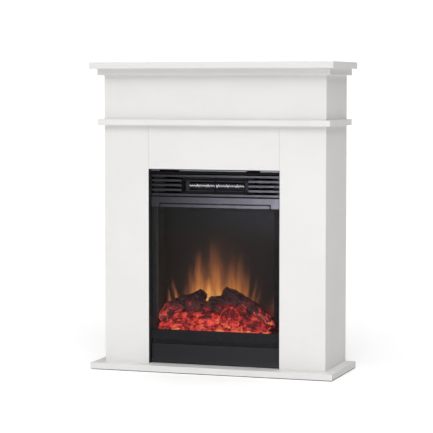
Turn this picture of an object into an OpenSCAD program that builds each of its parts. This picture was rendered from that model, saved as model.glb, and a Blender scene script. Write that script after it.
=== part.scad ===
// Free-standing electric fireplace: a painted board surround with a steel fire
// insert, set out from the middle of the wall side's footprint, front towards -Y.

/* [Surround] */
// Width of the top board and of the plinth
overall_w = 816; // [790:1:860]
// Depth of the top board and of the plinth
overall_d = 302; // [296:1:330]
// Height of the finished fireplace
overall_h = 1000; // [980:1:1080]
// Width of the body below the mouldings
body_w = 747; // [720:1:760]
// Depth of the body, from the wall plane to the front panels
body_d = 254.5; // [250:0.5:262]
// Width of the cornice board and of the middle shelf
moulding_w = 781; // [765:1:788]
// Depth of the cornice board and of the middle shelf
moulding_d = 274.5; // [268:0.5:284]
// Thickness of the top board
top_t = 21; // [19:0.5:25]
// Thickness of the cornice board
cornice_t = 21; // [18:0.5:25]
// Thickness of the middle shelf
shelf_t = 19; // [18:0.5:25]
// Thickness of the plinth board
plinth_t = 20; // [18:0.5:25]
// Height of the frieze between the middle shelf and the cornice
frieze_h = 142; // [120:1:160]
// Thickness of the front, side and rear boards
panel_t = 18; // [16:0.5:19]
// Height of the glides under the plinth
glide_h = 2; // [1.5:0.5:4]

/* [Fire opening] */
// Width of the opening in the surround
opening_w = 443; // [436:1:470]
// Height of the opening above the plinth
opening_h = 634; // [632:1:650]
// Gap between the steel case and the edge of the opening
case_gap = 8.5; // [8:0.5:9.5]
// How far the fascia stands back from the front panels
fascia_recess = 13.5; // [10:0.5:16]

/* [Fire insert] */
// Depth of the fascia pieces in front of the steel case
fascia_d = 18; // [17:0.5:20]
// Depth of the steel case
case_d = 156; // [150:1:170]
// Thickness of the case, cover and trim sheet
sheet_t = 1.5; // [1.2:0.1:2]
// Height of the drop-down flap
flap_h = 63; // [60:0.5:66]
// Height of the finger gap above the flap
finger_gap_h = 15.5; // [14:0.5:18]
// Height of the ledge under the glass
ledge_h = 30; // [28:0.5:32]
// Visible height of the glass
window_h = 399.5; // [390:0.5:400]
// Height of the header strip above the glass
header_h = 32.5; // [30:0.5:34]
// Height of the louvre grille
grille_h = 80; // [76:0.5:82]
// Number of louvre slats
slat_count = 5; // [5:1:5]
// Thickness of the glass
glass_t = 4; // [3:0.5:4]

/* [Controls] */
// Opening angle drawn for the flap
flap_angle = 0; // [0:1:88]
// Tilt of the switch rockers when off
rocker_tilt = 7; // [4:1:8]
// Distance between two switches
switch_pitch = 35; // [30:1:40]
// Radius of the two control knobs
knob_r = 13; // [10:0.5:15]

/* [Flame effect and heater] */
// Number of reflecting vanes on the flicker spindle
vane_count = 12; // [8:1:14]
// Number of light emitting diodes on each strip
led_count = 13; // [8:1:16]
// Number of blades on the fan impeller
blade_count = 16; // [10:1:20]
// Number of bends in the heating ribbon
ribbon_bends = 42; // [20:2:60]

/* [Hidden] */
$fn = 48;

// Colours
white = [0.91, 0.90, 0.89];
black = [0.11, 0.11, 0.12];
steel = [0.55, 0.56, 0.58];
zinc = [0.68, 0.69, 0.70];
amber = [0.72, 0.20, 0.08];
bark = [0.22, 0.12, 0.11];
tinted = [0.16, 0.15, 0.14, 0.6];
brass = [0.72, 0.58, 0.30];
mica = [0.62, 0.58, 0.48];

// Surround levels and planes
back_y = overall_d / 2;
front_y = back_y - body_d;
lining_y = front_y + panel_t;
rail_y = back_y - panel_t;
body_x = body_w / 2;
inner_x = body_x - panel_t;
opening_x = opening_w / 2;
cheek_x = opening_x + panel_t;
plinth_top = glide_h + plinth_t;
opening_top = plinth_top + opening_h;
top_z = overall_h - top_t;
cornice_z = top_z - cornice_t;
frieze_z = cornice_z - frieze_h;
shelf_z = frieze_z - shelf_t;
joint_gap = 0.3;
rail_h = 80;

// Assembly screws, drawn from their flat head to their tip
screw_len = 38;
screw_r = 2.9;
screw_head_r = 4.8;
screw_head_h = 3;
bore_play = 0.1;
side_screw_x = body_x - panel_t / 2;
cheek_screw_x = opening_x + panel_t / 2;
pilaster_screw_x = (opening_x + body_x) / 2;
panel_screw_y = front_y + panel_t / 2;
screw_front_y = lining_y + 26;
screw_back_y = rail_y - 14;
cheek_back_screw_y = rail_y - 44;
top_screw_front = [180, -20];
top_screw_back = [180, 95];
top_screw_side = [300, 40];

// Glides and wall brackets
glide_r = 12;
glide_inset = 40;
bracket_spacing = 500;
bracket_w = 30;
bracket_t = 2;
bracket_drop = 42;
bracket_reach = 30;
bracket_hole_r = 2.75;
bracket_hole_z = cornice_z - 23;
bracket_screw_dx = 8;
bracket_screw_y = back_y - bracket_reach / 2 - 4;

// Insert planes and levels
wing_x = opening_x - joint_gap;
wing_y = front_y + 0.5;
wing_top = opening_top - 1;
fascia_x = wing_x - sheet_t - joint_gap;
fascia_y = front_y + fascia_recess;
case_x = opening_x - case_gap;
case_in_x = case_x - sheet_t;
case_y = fascia_y + fascia_d;
case_back_y = case_y + case_d;
cover_back_y = case_back_y + sheet_t;
flap_z = plinth_top + 2.5;
flap_top = flap_z + flap_h;
ledge_z = flap_top + finger_gap_h;
ledge_top = ledge_z + ledge_h;
header_z = ledge_top + window_h;
grille_z = header_z + header_h;
grille_top = grille_z + grille_h;
case_top = grille_top + 1;
lower_deck_z = ledge_z - 3;
lower_deck_top = lower_deck_z + sheet_t;
upper_deck_z = grille_z - 5;
upper_deck_top = upper_deck_z + sheet_t;
rear_flange = 12;

// Small fixings
m4_r = 2;
m4_head_r = 4;
m4_head_h = 2;
m4_len = 9;
m4_hole_r = 2.1;
wood_r = 1.75;
wood_head_r = 3.5;
wood_head_h = 2;
wood_len = 14;

cover_inset = 7.5;
strap_screw_y = case_back_y + 25;
case_screw_y = case_back_y - 20;
strap_front_y = case_back_y - 34;
strap_back_y = strap_screw_y + 15;
strap_crank_y = case_back_y - 2.5;
strap_half_h = 15;

// Glass and the pieces that hold it
glass_x = case_x - 0.5;
glass_y = fascia_y + 5.5;
glass_back_y = glass_y + glass_t;
glass_z = ledge_top - 5;
glass_top = header_z + 15.5;
jamb_x = case_x - 16;
rebate_z = glass_z - 0.5;
jamb_z = ledge_top + 40;
header_t = 3;
notch_x = 187;
notch_h = 12;
notch_r = 6;
retainer_gap = 2.5;
trim_h = 7;
trim_notch_depth = 5;
trim_notches = [[-188, -119], [108.5, 153.5]];
seal_y = lining_y + 6;
seal_lap = 14;
ledge_wall = 2;
ledge_chamfer = 2.5;

// Grille
grille_rim = 4;
slat_face = 6.5;
slat_blade = 1.6;
slat_depth = 14;
slat_lip = 3;
slat_pitch = (grille_h - grille_rim) / slat_count;
slat_mid_z = grille_z + 38.5;
slat_front_y = fascia_y + 1;
slat_overlap = 0.5;
bar_w = 3;
bar_x = 100;
bar_y = fascia_y + 3;
bar_back_y = fascia_y + 8;
bar_z = grille_z + grille_rim - 1;
bar_top = grille_top - grille_rim + 1;
end_bars = [195, 204];
end_bar_w = 2.5;
outlet_x = 112;
outlet_h = 41;
outlet_r = 7;
outlet_rim = 3;
outlet_y = fascia_y + 2;
outlet_back_y = fascia_y + 12;
guard_y = fascia_y + 9;
guard_wire = 1;
guard_wires = 7;
guard_pitch = 5;
outlet_z = grille_z + 35.5;
boss_x = 204;
boss_r = 5;
boss_y = fascia_y + 3.5;
boss_screw_y = fascia_y + 4;

// Flap and its hinge
hinge_y = fascia_y + 4.5;
hinge_z = flap_z + 5;
pin_r = 1.2;
pin_play = 0.05;
pin_head_r = 2;
ear_r = 2.6;
ear_drop = 2.4;
flap_x = case_x + 2.5;
flap_lip = 10;
catch_x = 150;
catch_size = [10, 8, 7.5];

// Switches and knobs
control_z = plinth_top + 34;
plate_y = case_y;
plate_back_y = case_y + sheet_t;
switch_x0 = 20;
housing_w = 15;
housing_h = 24;
housing_d = 20;
flange_w = 18;
flange_h = 28;
flange_t = 1.5;
pocket_w = 12.8;
pocket_h = 21;
pocket_d = 14;
rocker_w = 12;
rocker_y = plate_y + 1;
rocker_x = [switch_x0, switch_x0 + switch_pitch, switch_x0 + 2 * switch_pitch];
pivot_len = 14.6;
knob_x = [-110, -50];
knob_h = 9;
shaft_r = 3;
shaft_play = 0.05;
plate_play = 0.5;
knob_shaft_len = 20;
rotary_r = 12;
rotary_d = 18;

// Control board and cable gland
board_lo = [30, -20, plinth_top + 8];
board_size = [120, 70, 1.6];
standoff_r = 3;
gland_x = 170;
gland_z = plinth_top + 38;
gland_bore_r = 4;
gland_neck_r = 8.9;
gland_flange_r = 12;
gland_flange_t = 4;

// Fuel bed and logs
bed_x = case_in_x - 4.5;
bed_t = 2.5;
bed_lip_y = glass_back_y + 1;
bed_front_y = case_y + 2;
bed_rear_y = case_y + 89;
bed_top = ledge_top + 33;
bed_outer = [
    [bed_front_y, lower_deck_top], [bed_front_y, rebate_z], [bed_lip_y, rebate_z],
    [bed_lip_y, ledge_top + 1], [bed_front_y + 15, ledge_top + 9],
    [bed_front_y + 45, ledge_top + 25], [bed_front_y + 75, bed_top],
    [bed_rear_y, bed_top], [bed_rear_y, lower_deck_top]
];
bed_inner = [
    [bed_front_y + bed_t, lower_deck_top - 1], [bed_front_y + bed_t, ledge_top + 1],
    [bed_front_y + 16, ledge_top + 6.6], [bed_front_y + 46, ledge_top + 22.5],
    [bed_front_y + 75.4, bed_top - bed_t], [bed_rear_y - bed_t, bed_top - bed_t],
    [bed_rear_y - bed_t, lower_deck_top - 1]
];
left_butt = [-181, -20, 152];
left_knot = [-128, -18, 203];
left_tip = [-62, -16, 250];
left_fork = [-108, -24, 192];
left_branch = [-22, -28, 188];
right_butt = [165, -20, 150];
right_middle = [85, -18, 200];
right_tip = [12, -16, 258];
right_fork = [52, -22, 220];
right_stub = [-30, -26, 226];
round_log_at = [40, -66, 172];
round_log_r = 34;
round_log_len = 18;

// Flame effect behind the bed
screen_y = bed_rear_y + 3;
screen_t = 3;
mask_y = screen_y + 10;
mask_top = ledge_top + 300;
spindle_y = mask_y + 22;
spindle_z = ledge_top - 3;
vane_r = 14;
vane_w = 24;
vane_x = 170;
post_x = 199;
post_w = 20;
bush_r = 6;
bush_len = 6;
led_x = 190;
led_w = 8;
led_t = 1.6;
led_y = [case_y + 45, case_back_y - 12];
motor_r = 18;
motor_len = 24;
motor_x = 178;

// Heater
fan_y = case_y + 50;
fan_z = grille_z + 38;
housing_x = 125;
housing_y = case_y + 2;
housing_back_y = case_y + 82;
housing_z = grille_z + 3;
housing_top = grille_top - 7;
intake_x = 105;
intake_h = 40;
impeller_r = 22;
impeller_x = 112;
disc_t = 2;
blade_w = 9;
blade_t = 1;
fan_shaft_x = [-132, 158];
fan_motor_x = 131;
element_x = 95;
element_y = housing_y + 4;
ribbon_amp = 4.5;
ribbon_w = 2.6;
ribbon_t = 4;
rail_size = [216, 6, 3.5];

function mirrored(sites) = [for (p = sites, s = [-1, 1]) [s * p[0], p[1], p[2], p[3]]];

// Screw sites: x, y, height of the head's face, and +1 for up or -1 for down
base_sites = mirrored([
    [side_screw_x, screw_front_y, glide_h, 1], [side_screw_x, screw_back_y, glide_h, 1],
    [cheek_screw_x, screw_front_y, glide_h, 1], [cheek_screw_x, cheek_back_screw_y, glide_h, 1],
    [pilaster_screw_x, panel_screw_y, glide_h, 1]
]);
shelf_sites = mirrored([
    [side_screw_x, screw_front_y, frieze_z, -1], [side_screw_x, screw_back_y, frieze_z, -1],
    [cheek_screw_x, screw_front_y, frieze_z, -1],
    [pilaster_screw_x, panel_screw_y, frieze_z, -1],
    [opening_x / 2, panel_screw_y, frieze_z, -1],
    [opening_x / 2, back_y - panel_t / 2, frieze_z, -1]
]);
cornice_sites = mirrored([
    [side_screw_x, screw_front_y, top_z, -1], [side_screw_x, screw_back_y, top_z, -1],
    [opening_x / 2, panel_screw_y, top_z, -1]
]);
top_sites = mirrored([
    for (p = [top_screw_front, top_screw_back, top_screw_side]) [p[0], p[1], cornice_z, 1]
]);

cover_sites = [for (x = [-1, 0, 1], z = [0, 1]) [x * (case_x - cover_inset), case_back_y,
    z == 0 ? plinth_top + cover_inset : case_top - cover_inset]];
strap_z = [plinth_top + 128, upper_deck_z - 20];

// ---------------------------------------------------------------- helpers

module slab(lo, hi) {
    translate(lo) cube(hi - lo);
}

// Prism along X whose outline is given as [y, z] points
module prism_x(x0, x1, outline) {
    translate([x0, 0, 0])
        rotate([90, 0, 90])
            linear_extrude(height = x1 - x0) polygon(outline);
}

// Cylinder along X or Y from one coordinate to another
module rod_x(x0, x1, y, z, r) {
    translate([x0, y, z]) rotate([0, 90, 0]) cylinder(h = x1 - x0, r = r);
}

module rod_y(y0, y1, x, z, r) {
    translate([x, y0, z]) rotate([-90, 0, 0]) cylinder(h = y1 - y0, r = r);
}

// Round limb between two points
module limb(a, b, ra, rb) {
    v = b - a;
    length = norm(v);
    translate(a)
        rotate([0, acos(v[2] / length), atan2(v[1], v[0])])
            cylinder(h = length, r1 = ra, r2 = rb);
}

module rounded_rect(w, h, r) {
    square([w - 2 * r, h], center = true);
    square([w, h - 2 * r], center = true);
    for (x = [-1, 1], z = [-1, 1])
        translate([x * (w / 2 - r), z * (h / 2 - r)]) circle(r = r);
}

// Rounded block whose face looks along -Y
module rounded_block(x, z, w, h, r, y0, y1) {
    translate([x, y1, z])
        rotate([90, 0, 0])
            linear_extrude(height = y1 - y0) rounded_rect(w, h, r);
}

module both_sides() {
    children();
    mirror([1, 0, 0]) children();
}

// ---------------------------------------------------------------- surround

module assembly_screw(site, play = 0) {
    sink = play > 0 ? 1 : 0;
    translate([site[0], site[1], site[2]])
        facing(site[3])
            union() {
                cylinder(h = screw_len + play, r = screw_r + play);
                translate([0, 0, -sink]) cylinder(h = screw_head_h + sink, r = screw_head_r + play);
            }
}

// Turns its children over when direction is below zero
module facing(direction) {
    rotate([direction < 0 ? 180 : 0, 0, 0]) children();
}

module screw_bores(sites) {
    for (site = sites) assembly_screw(site, bore_play);
}

module assembly_screws() {
    color(zinc)
        for (site = concat(base_sites, shelf_sites, cornice_sites, top_sites)) assembly_screw(site);
}

module top_board() {
    color(white)
        difference() {
            slab([-overall_w / 2, -overall_d / 2, top_z], [overall_w / 2, back_y, overall_h]);
            screw_bores(top_sites);
        }
}

module cornice_board() {
    color(white)
        difference() {
            slab([-moulding_w / 2, back_y - moulding_d, cornice_z], [moulding_w / 2, back_y, top_z]);
            screw_bores(top_sites);
            screw_bores(cornice_sites);
            wall_bracket_screw_bores();
        }
}

module frieze_front() {
    color(white)
        difference() {
            slab([-body_x, front_y, frieze_z], [body_x, lining_y, cornice_z]);
            screw_bores(cornice_sites);
        }
}

module frieze_side() {
    difference() {
        slab([inner_x, lining_y, frieze_z], [body_x, back_y, cornice_z]);
        screw_bores(cornice_sites);
    }
}

module frieze_right() {
    color(white) frieze_side();
}

module frieze_left() {
    color(white) mirror([1, 0, 0]) frieze_side();
}

module mid_shelf() {
    color(white)
        difference() {
            slab([-moulding_w / 2, back_y - moulding_d, shelf_z], [moulding_w / 2, back_y, frieze_z]);
            screw_bores(shelf_sites);
        }
}

module pilaster() {
    difference() {
        slab([opening_x, front_y, plinth_top], [body_x, lining_y, shelf_z]);
        screw_bores(base_sites);
        screw_bores(shelf_sites);
    }
}

module right_pilaster() {
    color(white) pilaster();
}

module left_pilaster() {
    color(white) mirror([1, 0, 0]) pilaster();
}

module centre_panel() {
    color(white)
        difference() {
            slab([joint_gap - opening_x, front_y, opening_top],
                [opening_x - joint_gap, lining_y, shelf_z]);
            screw_bores(shelf_sites);
        }
}

module side_panel() {
    difference() {
        slab([inner_x, lining_y, plinth_top], [body_x, back_y, shelf_z]);
        screw_bores(base_sites);
        screw_bores(shelf_sites);
    }
}

module right_side_panel() {
    color(white) side_panel();
}

module left_side_panel() {
    color(white) mirror([1, 0, 0]) side_panel();
}

module cheek() {
    difference() {
        slab([opening_x, lining_y, plinth_top], [cheek_x, rail_y, shelf_z]);
        screw_bores(base_sites);
        screw_bores(shelf_sites);
        for (z = strap_z) wood_screw_x(opening_x - sheet_t, strap_screw_y, z, bore_play);
    }
}

module right_cheek() {
    color(white) cheek();
}

module left_cheek() {
    color(white) mirror([1, 0, 0]) cheek();
}

module plinth_board() {
    color(white)
        difference() {
            slab([-overall_w / 2, -overall_d / 2, glide_h], [overall_w / 2, back_y, plinth_top]);
            screw_bores(base_sites);
        }
}

module rear_rail() {
    color(white)
        difference() {
            slab([-inner_x, rail_y, shelf_z - rail_h], [inner_x, back_y, shelf_z]);
            screw_bores(shelf_sites);
        }
}

module glides() {
    color(black)
        for (x = [-1, 0, 1], y = [-1, 1])
            translate([x * (overall_w / 2 - glide_inset), y * (back_y - glide_inset), 0])
                cylinder(h = glide_h, r = glide_r);
}

module wall_bracket_screw_bores() {
    for (x = [-1, 1], dx = [-bracket_screw_dx, bracket_screw_dx])
        wood_screw_up(x * bracket_spacing / 2 + dx, bracket_screw_y, cornice_z - bracket_t, bore_play);
}

module wall_brackets() {
    color(zinc)
        for (s = [-1, 1])
            difference() {
                union() {
                    slab([s * bracket_spacing / 2 - bracket_w / 2, back_y - bracket_t,
                            cornice_z - bracket_drop],
                        [s * bracket_spacing / 2 + bracket_w / 2, back_y, cornice_z]);
                    slab([s * bracket_spacing / 2 - bracket_w / 2, back_y - bracket_reach,
                            cornice_z - bracket_t],
                        [s * bracket_spacing / 2 + bracket_w / 2, back_y, cornice_z]);
                }
                rod_y(back_y - 2 * bracket_t, back_y + bracket_t, s * bracket_spacing / 2,
                    bracket_hole_z, bracket_hole_r);
                wall_bracket_screw_bores();
            }
}

// ---------------------------------------------------------------- small screws

// Pan-head screw with its head's underside at y, pointing towards +Y or -Y
module machine_screw_y(x, y, z, direction, play = 0) {
    translate([x, y, z])
        rotate([direction > 0 ? -90 : 90, 0, 0])
            union() {
                cylinder(h = m4_len, r = m4_r + play);
                if (play == 0) translate([0, 0, -m4_head_h]) cylinder(h = m4_head_h, r = m4_head_r);
            }
}

// Pan-head screw with its head's underside at x, pointing towards the middle
module machine_screw_x(x, y, z, play = 0) {
    translate([x, y, z])
        rotate([0, -90, 0])
            union() {
                cylinder(h = m4_len, r = m4_r + play);
                if (play == 0) translate([0, 0, -m4_head_h]) cylinder(h = m4_head_h, r = m4_head_r);
            }
}

module wood_screw_x(x, y, z, play = 0) {
    translate([x, y, z])
        rotate([0, 90, 0])
            union() {
                cylinder(h = wood_len + play, r = wood_r + play);
                if (play == 0) translate([0, 0, -wood_head_h]) cylinder(h = wood_head_h, r = wood_head_r);
            }
}

module wood_screw_up(x, y, z, play = 0) {
    translate([x, y, z])
        union() {
            cylinder(h = wood_len + play, r = wood_r + play);
            if (play == 0) translate([0, 0, -wood_head_h]) cylinder(h = wood_head_h, r = wood_head_r);
        }
}

module machine_screws() {
    color(zinc) {
        for (p = cover_sites) machine_screw_y(p[0], cover_back_y, p[2], -1);
        for (x = [-1, 1]) machine_screw_y(x * boss_x, boss_screw_y, outlet_z, 1);
        both_sides() for (z = strap_z) machine_screw_x(case_x + sheet_t, case_screw_y, z);
    }
}

module wood_screws() {
    color(zinc) {
        both_sides() for (z = strap_z) wood_screw_x(opening_x - sheet_t, strap_screw_y, z);
        for (x = [-1, 1], dx = [-bracket_screw_dx, bracket_screw_dx])
            wood_screw_up(x * bracket_spacing / 2 + dx, bracket_screw_y, cornice_z - bracket_t);
    }
}

// Cranked strap from the case's side to the cheek of the surround
module insert_bracket(z) {
    low = z - strap_half_h;
    high = z + strap_half_h;
    difference() {
        union() {
            slab([case_x, strap_front_y, low], [case_x + sheet_t, strap_crank_y, high]);
            slab([case_x, strap_crank_y - sheet_t, low], [opening_x, strap_crank_y, high]);
            slab([opening_x - sheet_t, strap_crank_y - sheet_t, low],
                [opening_x, strap_back_y, high]);
        }
        machine_screw_x(case_x + sheet_t + 1, case_screw_y, z, bore_play);
        wood_screw_x(opening_x - sheet_t - 1, strap_screw_y, z, bore_play);
    }
}

module insert_brackets() {
    color(zinc) both_sides() for (z = strap_z) insert_bracket(z);
}

// ---------------------------------------------------------------- insert case and fascia

module case_shell() {
    difference() {
        slab([-case_x, case_y, plinth_top], [case_x, case_back_y, case_top]);
        slab([-case_in_x, case_y - 1, plinth_top + sheet_t],
            [case_in_x, case_back_y + 1, case_top - sheet_t]);
    }
}

module rear_flange_ring() {
    difference() {
        slab([-case_in_x, case_back_y - sheet_t, plinth_top + sheet_t],
            [case_in_x, case_back_y, case_top - sheet_t]);
        slab([rear_flange - case_in_x, case_back_y - 3 * sheet_t, plinth_top + rear_flange],
            [case_in_x - rear_flange, case_back_y + sheet_t, case_top - rear_flange]);
    }
}

// Tongue of the case side that holds the flap's hinge pin
module hinge_ear() {
    difference() {
        union() {
            rod_x(case_in_x, case_x, hinge_y, hinge_z, ear_r);
            slab([case_in_x, hinge_y, hinge_z - ear_drop], [case_x, case_y, hinge_z + ear_r]);
        }
        rod_x(case_in_x - 1, case_x + 1, hinge_y, hinge_z, pin_r);
    }
}

// Side sheet that lines the opening, stepped out from the front edge of the case
module front_wing() {
    slab([case_in_x, case_y, plinth_top], [wing_x, case_y + sheet_t, case_top]);
    slab([wing_x - sheet_t, wing_y, plinth_top], [wing_x, case_y + sheet_t, wing_top]);
}

module firebox_case() {
    color(black)
        difference() {
            union() {
                case_shell();
                rear_flange_ring();
                slab([-case_in_x, case_y, lower_deck_z], [case_in_x, case_back_y, lower_deck_top]);
                slab([-case_in_x, case_y, upper_deck_z], [case_in_x, case_back_y, upper_deck_top]);
                both_sides() {
                    front_wing();
                    hinge_ear();
                    slab([case_in_x - rear_flange, case_y, upper_deck_top],
                        [case_in_x, case_y + sheet_t, case_top - sheet_t]);
                }
                slab([-post_x, spindle_y - post_w / 2, lower_deck_top],
                    [-post_x + sheet_t, spindle_y + post_w / 2, spindle_z + post_w / 2]);
            }
            for (p = cover_sites) machine_screw_y(p[0], p[1] + 1, p[2], -1, bore_play);
            for (x = [-1, 1]) machine_screw_y(x * boss_x, boss_screw_y, outlet_z, 1, bore_play);
            both_sides() for (z = strap_z)
                machine_screw_x(case_x + sheet_t, case_screw_y, z, bore_play);
            rod_x(-post_x - 1, -post_x + sheet_t + 1, spindle_y, spindle_z, bush_r);
        }
}

// Cutter for an upright slot through the rear cover
module vent_slot(x, z, w, h) {
    slab([x - w / 2, case_back_y - 1, z - h / 2], [x + w / 2, cover_back_y + 1, z + h / 2]);
}

module rear_cover() {
    slot_w = 6;
    slot_pitch = 12;
    fan_slot_h = 44;
    low_slot_h = 22;
    low_slot_x = -90;
    color(black)
        difference() {
            slab([-case_x, case_back_y, plinth_top], [case_x, cover_back_y, case_top]);
            for (i = [-8 : 8]) vent_slot(i * slot_pitch, fan_z, slot_w, fan_slot_h);
            for (i = [-4 : 4]) vent_slot(low_slot_x + i * slot_pitch, control_z, slot_w, low_slot_h);
            rod_y(case_back_y - 1, cover_back_y + 1, gland_x, gland_z, gland_neck_r + bore_play);
            for (p = cover_sites) machine_screw_y(p[0], cover_back_y + 1, p[2], -1, bore_play);
        }
}

// Trim above the grille, with two clearance notches in its front upstand and a
// rear upstand that closes the gap behind the surround's opening
module head_trim() {
    color(steel)
        difference() {
            union() {
                slab([-fascia_x, fascia_y, case_top], [fascia_x, fascia_y + sheet_t, case_top + trim_h]);
                slab([-fascia_x, fascia_y, case_top], [fascia_x, seal_y + sheet_t, case_top + sheet_t]);
                slab([-fascia_x, seal_y, case_top], [fascia_x, seal_y + sheet_t, opening_top + seal_lap]);
            }
            for (span = trim_notches)
                slab([span[0], fascia_y - 1, case_top + trim_h - trim_notch_depth],
                    [span[1], fascia_y + 2 * sheet_t, case_top + trim_h + 1]);
        }
}

// One louvre slat: a flat face in front and a blade that rises behind it
function slat_outline(z) = [
    [slat_front_y, z - slat_face / 2], [slat_front_y, z + slat_face / 2],
    [slat_front_y + 2, z + slat_face / 2], [slat_front_y + slat_depth, z + slat_face],
    [slat_front_y + slat_depth, z + slat_face - slat_blade],
    [slat_front_y + slat_lip, z - slat_face / 2 + slat_blade],
    [slat_front_y + slat_lip, z - slat_face / 2]
];

module grille_bar(x, w) {
    slab([x - w / 2, bar_y, bar_z], [x + w / 2, bar_back_y, bar_top]);
}

// The outer slats run right across, the others stop at the heater outlet
module grille_slats(inner_gx) {
    for (i = [0 : slat_count - 1]) {
        z = slat_mid_z + (i - (slat_count - 1) / 2) * slat_pitch;
        if (i > 0 && i < slat_count - 1) {
            both_sides()
                prism_x(outlet_x + outlet_rim / 2, inner_gx + slat_overlap, slat_outline(z));
        } else {
            prism_x(-inner_gx - slat_overlap, inner_gx + slat_overlap, slat_outline(z));
        }
    }
}

module grille_outlet() {
    difference() {
        rounded_block(0, outlet_z, 2 * outlet_x + 2 * outlet_rim, outlet_h + outlet_rim,
            outlet_r, outlet_y, outlet_back_y);
        rounded_block(0, outlet_z, 2 * outlet_x, outlet_h - outlet_rim,
            outlet_r - outlet_rim, outlet_y - 1, outlet_back_y + 1);
    }
    for (i = [0 : guard_wires - 1]) {
        z = outlet_z + (i - (guard_wires - 1) / 2) * guard_pitch;
        slab([-outlet_x - 1, guard_y, z - guard_wire / 2],
            [outlet_x + 1, guard_y + guard_wire, z + guard_wire / 2]);
    }
}

module louvre_grille() {
    inner_gx = fascia_x - grille_rim;
    color(black)
        difference() {
            union() {
                difference() {
                    slab([-fascia_x, fascia_y, grille_z], [fascia_x, case_y, grille_top]);
                    slab([-inner_gx, fascia_y - 1, grille_z + grille_rim],
                        [inner_gx, case_y + 1, grille_top - grille_rim]);
                }
                grille_slats(inner_gx);
                for (x = [-bar_x, 0, bar_x]) grille_bar(x, bar_w);
                for (s = [-1, 1], x = end_bars) grille_bar(s * x, end_bar_w);
                grille_outlet();
                for (s = [-1, 1]) rod_y(boss_y, case_y, s * boss_x, outlet_z, boss_r);
            }
            for (s = [-1, 1]) {
                rod_y(fascia_y - 1, boss_screw_y, s * boss_x, outlet_z, m4_head_r + 0.5);
                rod_y(bar_y, case_y + 1, s * boss_x, outlet_z, m4_hole_r);
            }
        }
}

module header_strip() {
    color(black)
        difference() {
            union() {
                slab([-fascia_x, fascia_y, header_z], [fascia_x, fascia_y + header_t, grille_z]);
                slab([-fascia_x, fascia_y, grille_z - sheet_t], [fascia_x, case_y, grille_z]);
                both_sides()
                    slab([fascia_x - sheet_t, fascia_y, header_z], [fascia_x, case_y, grille_z]);
            }
            translate([0, 0, -notch_r])
                rounded_block(0, header_z + notch_h / 2, 2 * notch_x, notch_h + 2 * notch_r,
                    notch_r, fascia_y - 1, fascia_y + header_t + 0.5);
        }
}

module glass_retainer() {
    reach = notch_x - retainer_gap;
    color(black)
        slab([-reach, fascia_y, header_z], [reach, glass_y, header_z + notch_h - retainer_gap]);
}

module window_glass() {
    color(tinted)
        slab([-glass_x, glass_y, glass_z], [glass_x, glass_back_y, glass_top]);
}

// Channel behind the glass edge
module jamb() {
    difference() {
        slab([jamb_x, glass_back_y, jamb_z], [glass_x, case_y, upper_deck_z]);
        slab([jamb_x + sheet_t, glass_back_y + sheet_t, jamb_z - 1],
            [glass_x - sheet_t, case_y + 1, upper_deck_z + 1]);
    }
}

module right_jamb() {
    color(black) jamb();
}

module left_jamb() {
    color(black) mirror([1, 0, 0]) jamb();
}

module front_ledge() {
    lip_y = glass_y - 0.5;
    color(black)
        difference() {
            prism_x(-fascia_x, fascia_x, [
                [fascia_y, ledge_z], [fascia_y, ledge_top - ledge_chamfer],
                [fascia_y + ledge_chamfer, ledge_top], [lip_y, ledge_top],
                [lip_y, rebate_z], [case_y, rebate_z], [case_y, ledge_z]
            ]);
            slab([-fascia_x - 1, fascia_y + ledge_wall, ledge_z + ledge_wall],
                [fascia_x + 1, case_y - ledge_wall, rebate_z - ledge_wall]);
        }
}

// ---------------------------------------------------------------- flap and controls

module flap_at_rest() {
    difference() {
        union() {
            prism_x(-flap_x, flap_x, [
                [fascia_y, flap_z], [fascia_y, flap_top - sheet_t],
                [fascia_y + sheet_t, flap_top], [fascia_y + flap_lip, flap_top],
                [fascia_y + flap_lip, flap_top - sheet_t],
                [fascia_y + sheet_t, flap_top - sheet_t], [fascia_y + sheet_t, flap_z]
            ]);
            both_sides()
                slab([flap_x - sheet_t, fascia_y, flap_z],
                    [flap_x, fascia_y + flap_lip, flap_top - sheet_t]);
        }
        rod_x(-flap_x - 1, flap_x + 1, hinge_y, hinge_z, pin_r + pin_play);
    }
}

module access_flap() {
    color(black)
        translate([0, hinge_y, hinge_z])
            rotate([flap_angle, 0, 0])
                translate([0, -hinge_y, -hinge_z]) flap_at_rest();
}

module flap_hinge_pins() {
    color(steel)
        both_sides() {
            rod_x(case_in_x - 2, flap_x + joint_gap, hinge_y, hinge_z, pin_r);
            rod_x(flap_x + joint_gap, flap_x + joint_gap + 1, hinge_y, hinge_z, pin_head_r);
        }
}

module flap_catches() {
    color(steel)
        for (s = [-1, 1])
            translate([s * catch_x - catch_size[0] / 2, case_y - catch_size[1],
                    flap_top - sheet_t - 0.5 - catch_size[2]])
                cube(catch_size);
}

module control_plate() {
    color(black)
        difference() {
            slab([-case_in_x, plate_y, plinth_top + sheet_t], [case_in_x, plate_back_y, lower_deck_z]);
            for (x = rocker_x)
                slab([x - housing_w / 2 - bore_play, plate_y - 1,
                        control_z - housing_h / 2 - bore_play],
                    [x + housing_w / 2 + bore_play, plate_back_y + 1,
                        control_z + housing_h / 2 + bore_play]);
            for (x = knob_x) rod_y(plate_y - 1, plate_back_y + 1, x, control_z, shaft_r + plate_play);
        }
}

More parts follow.
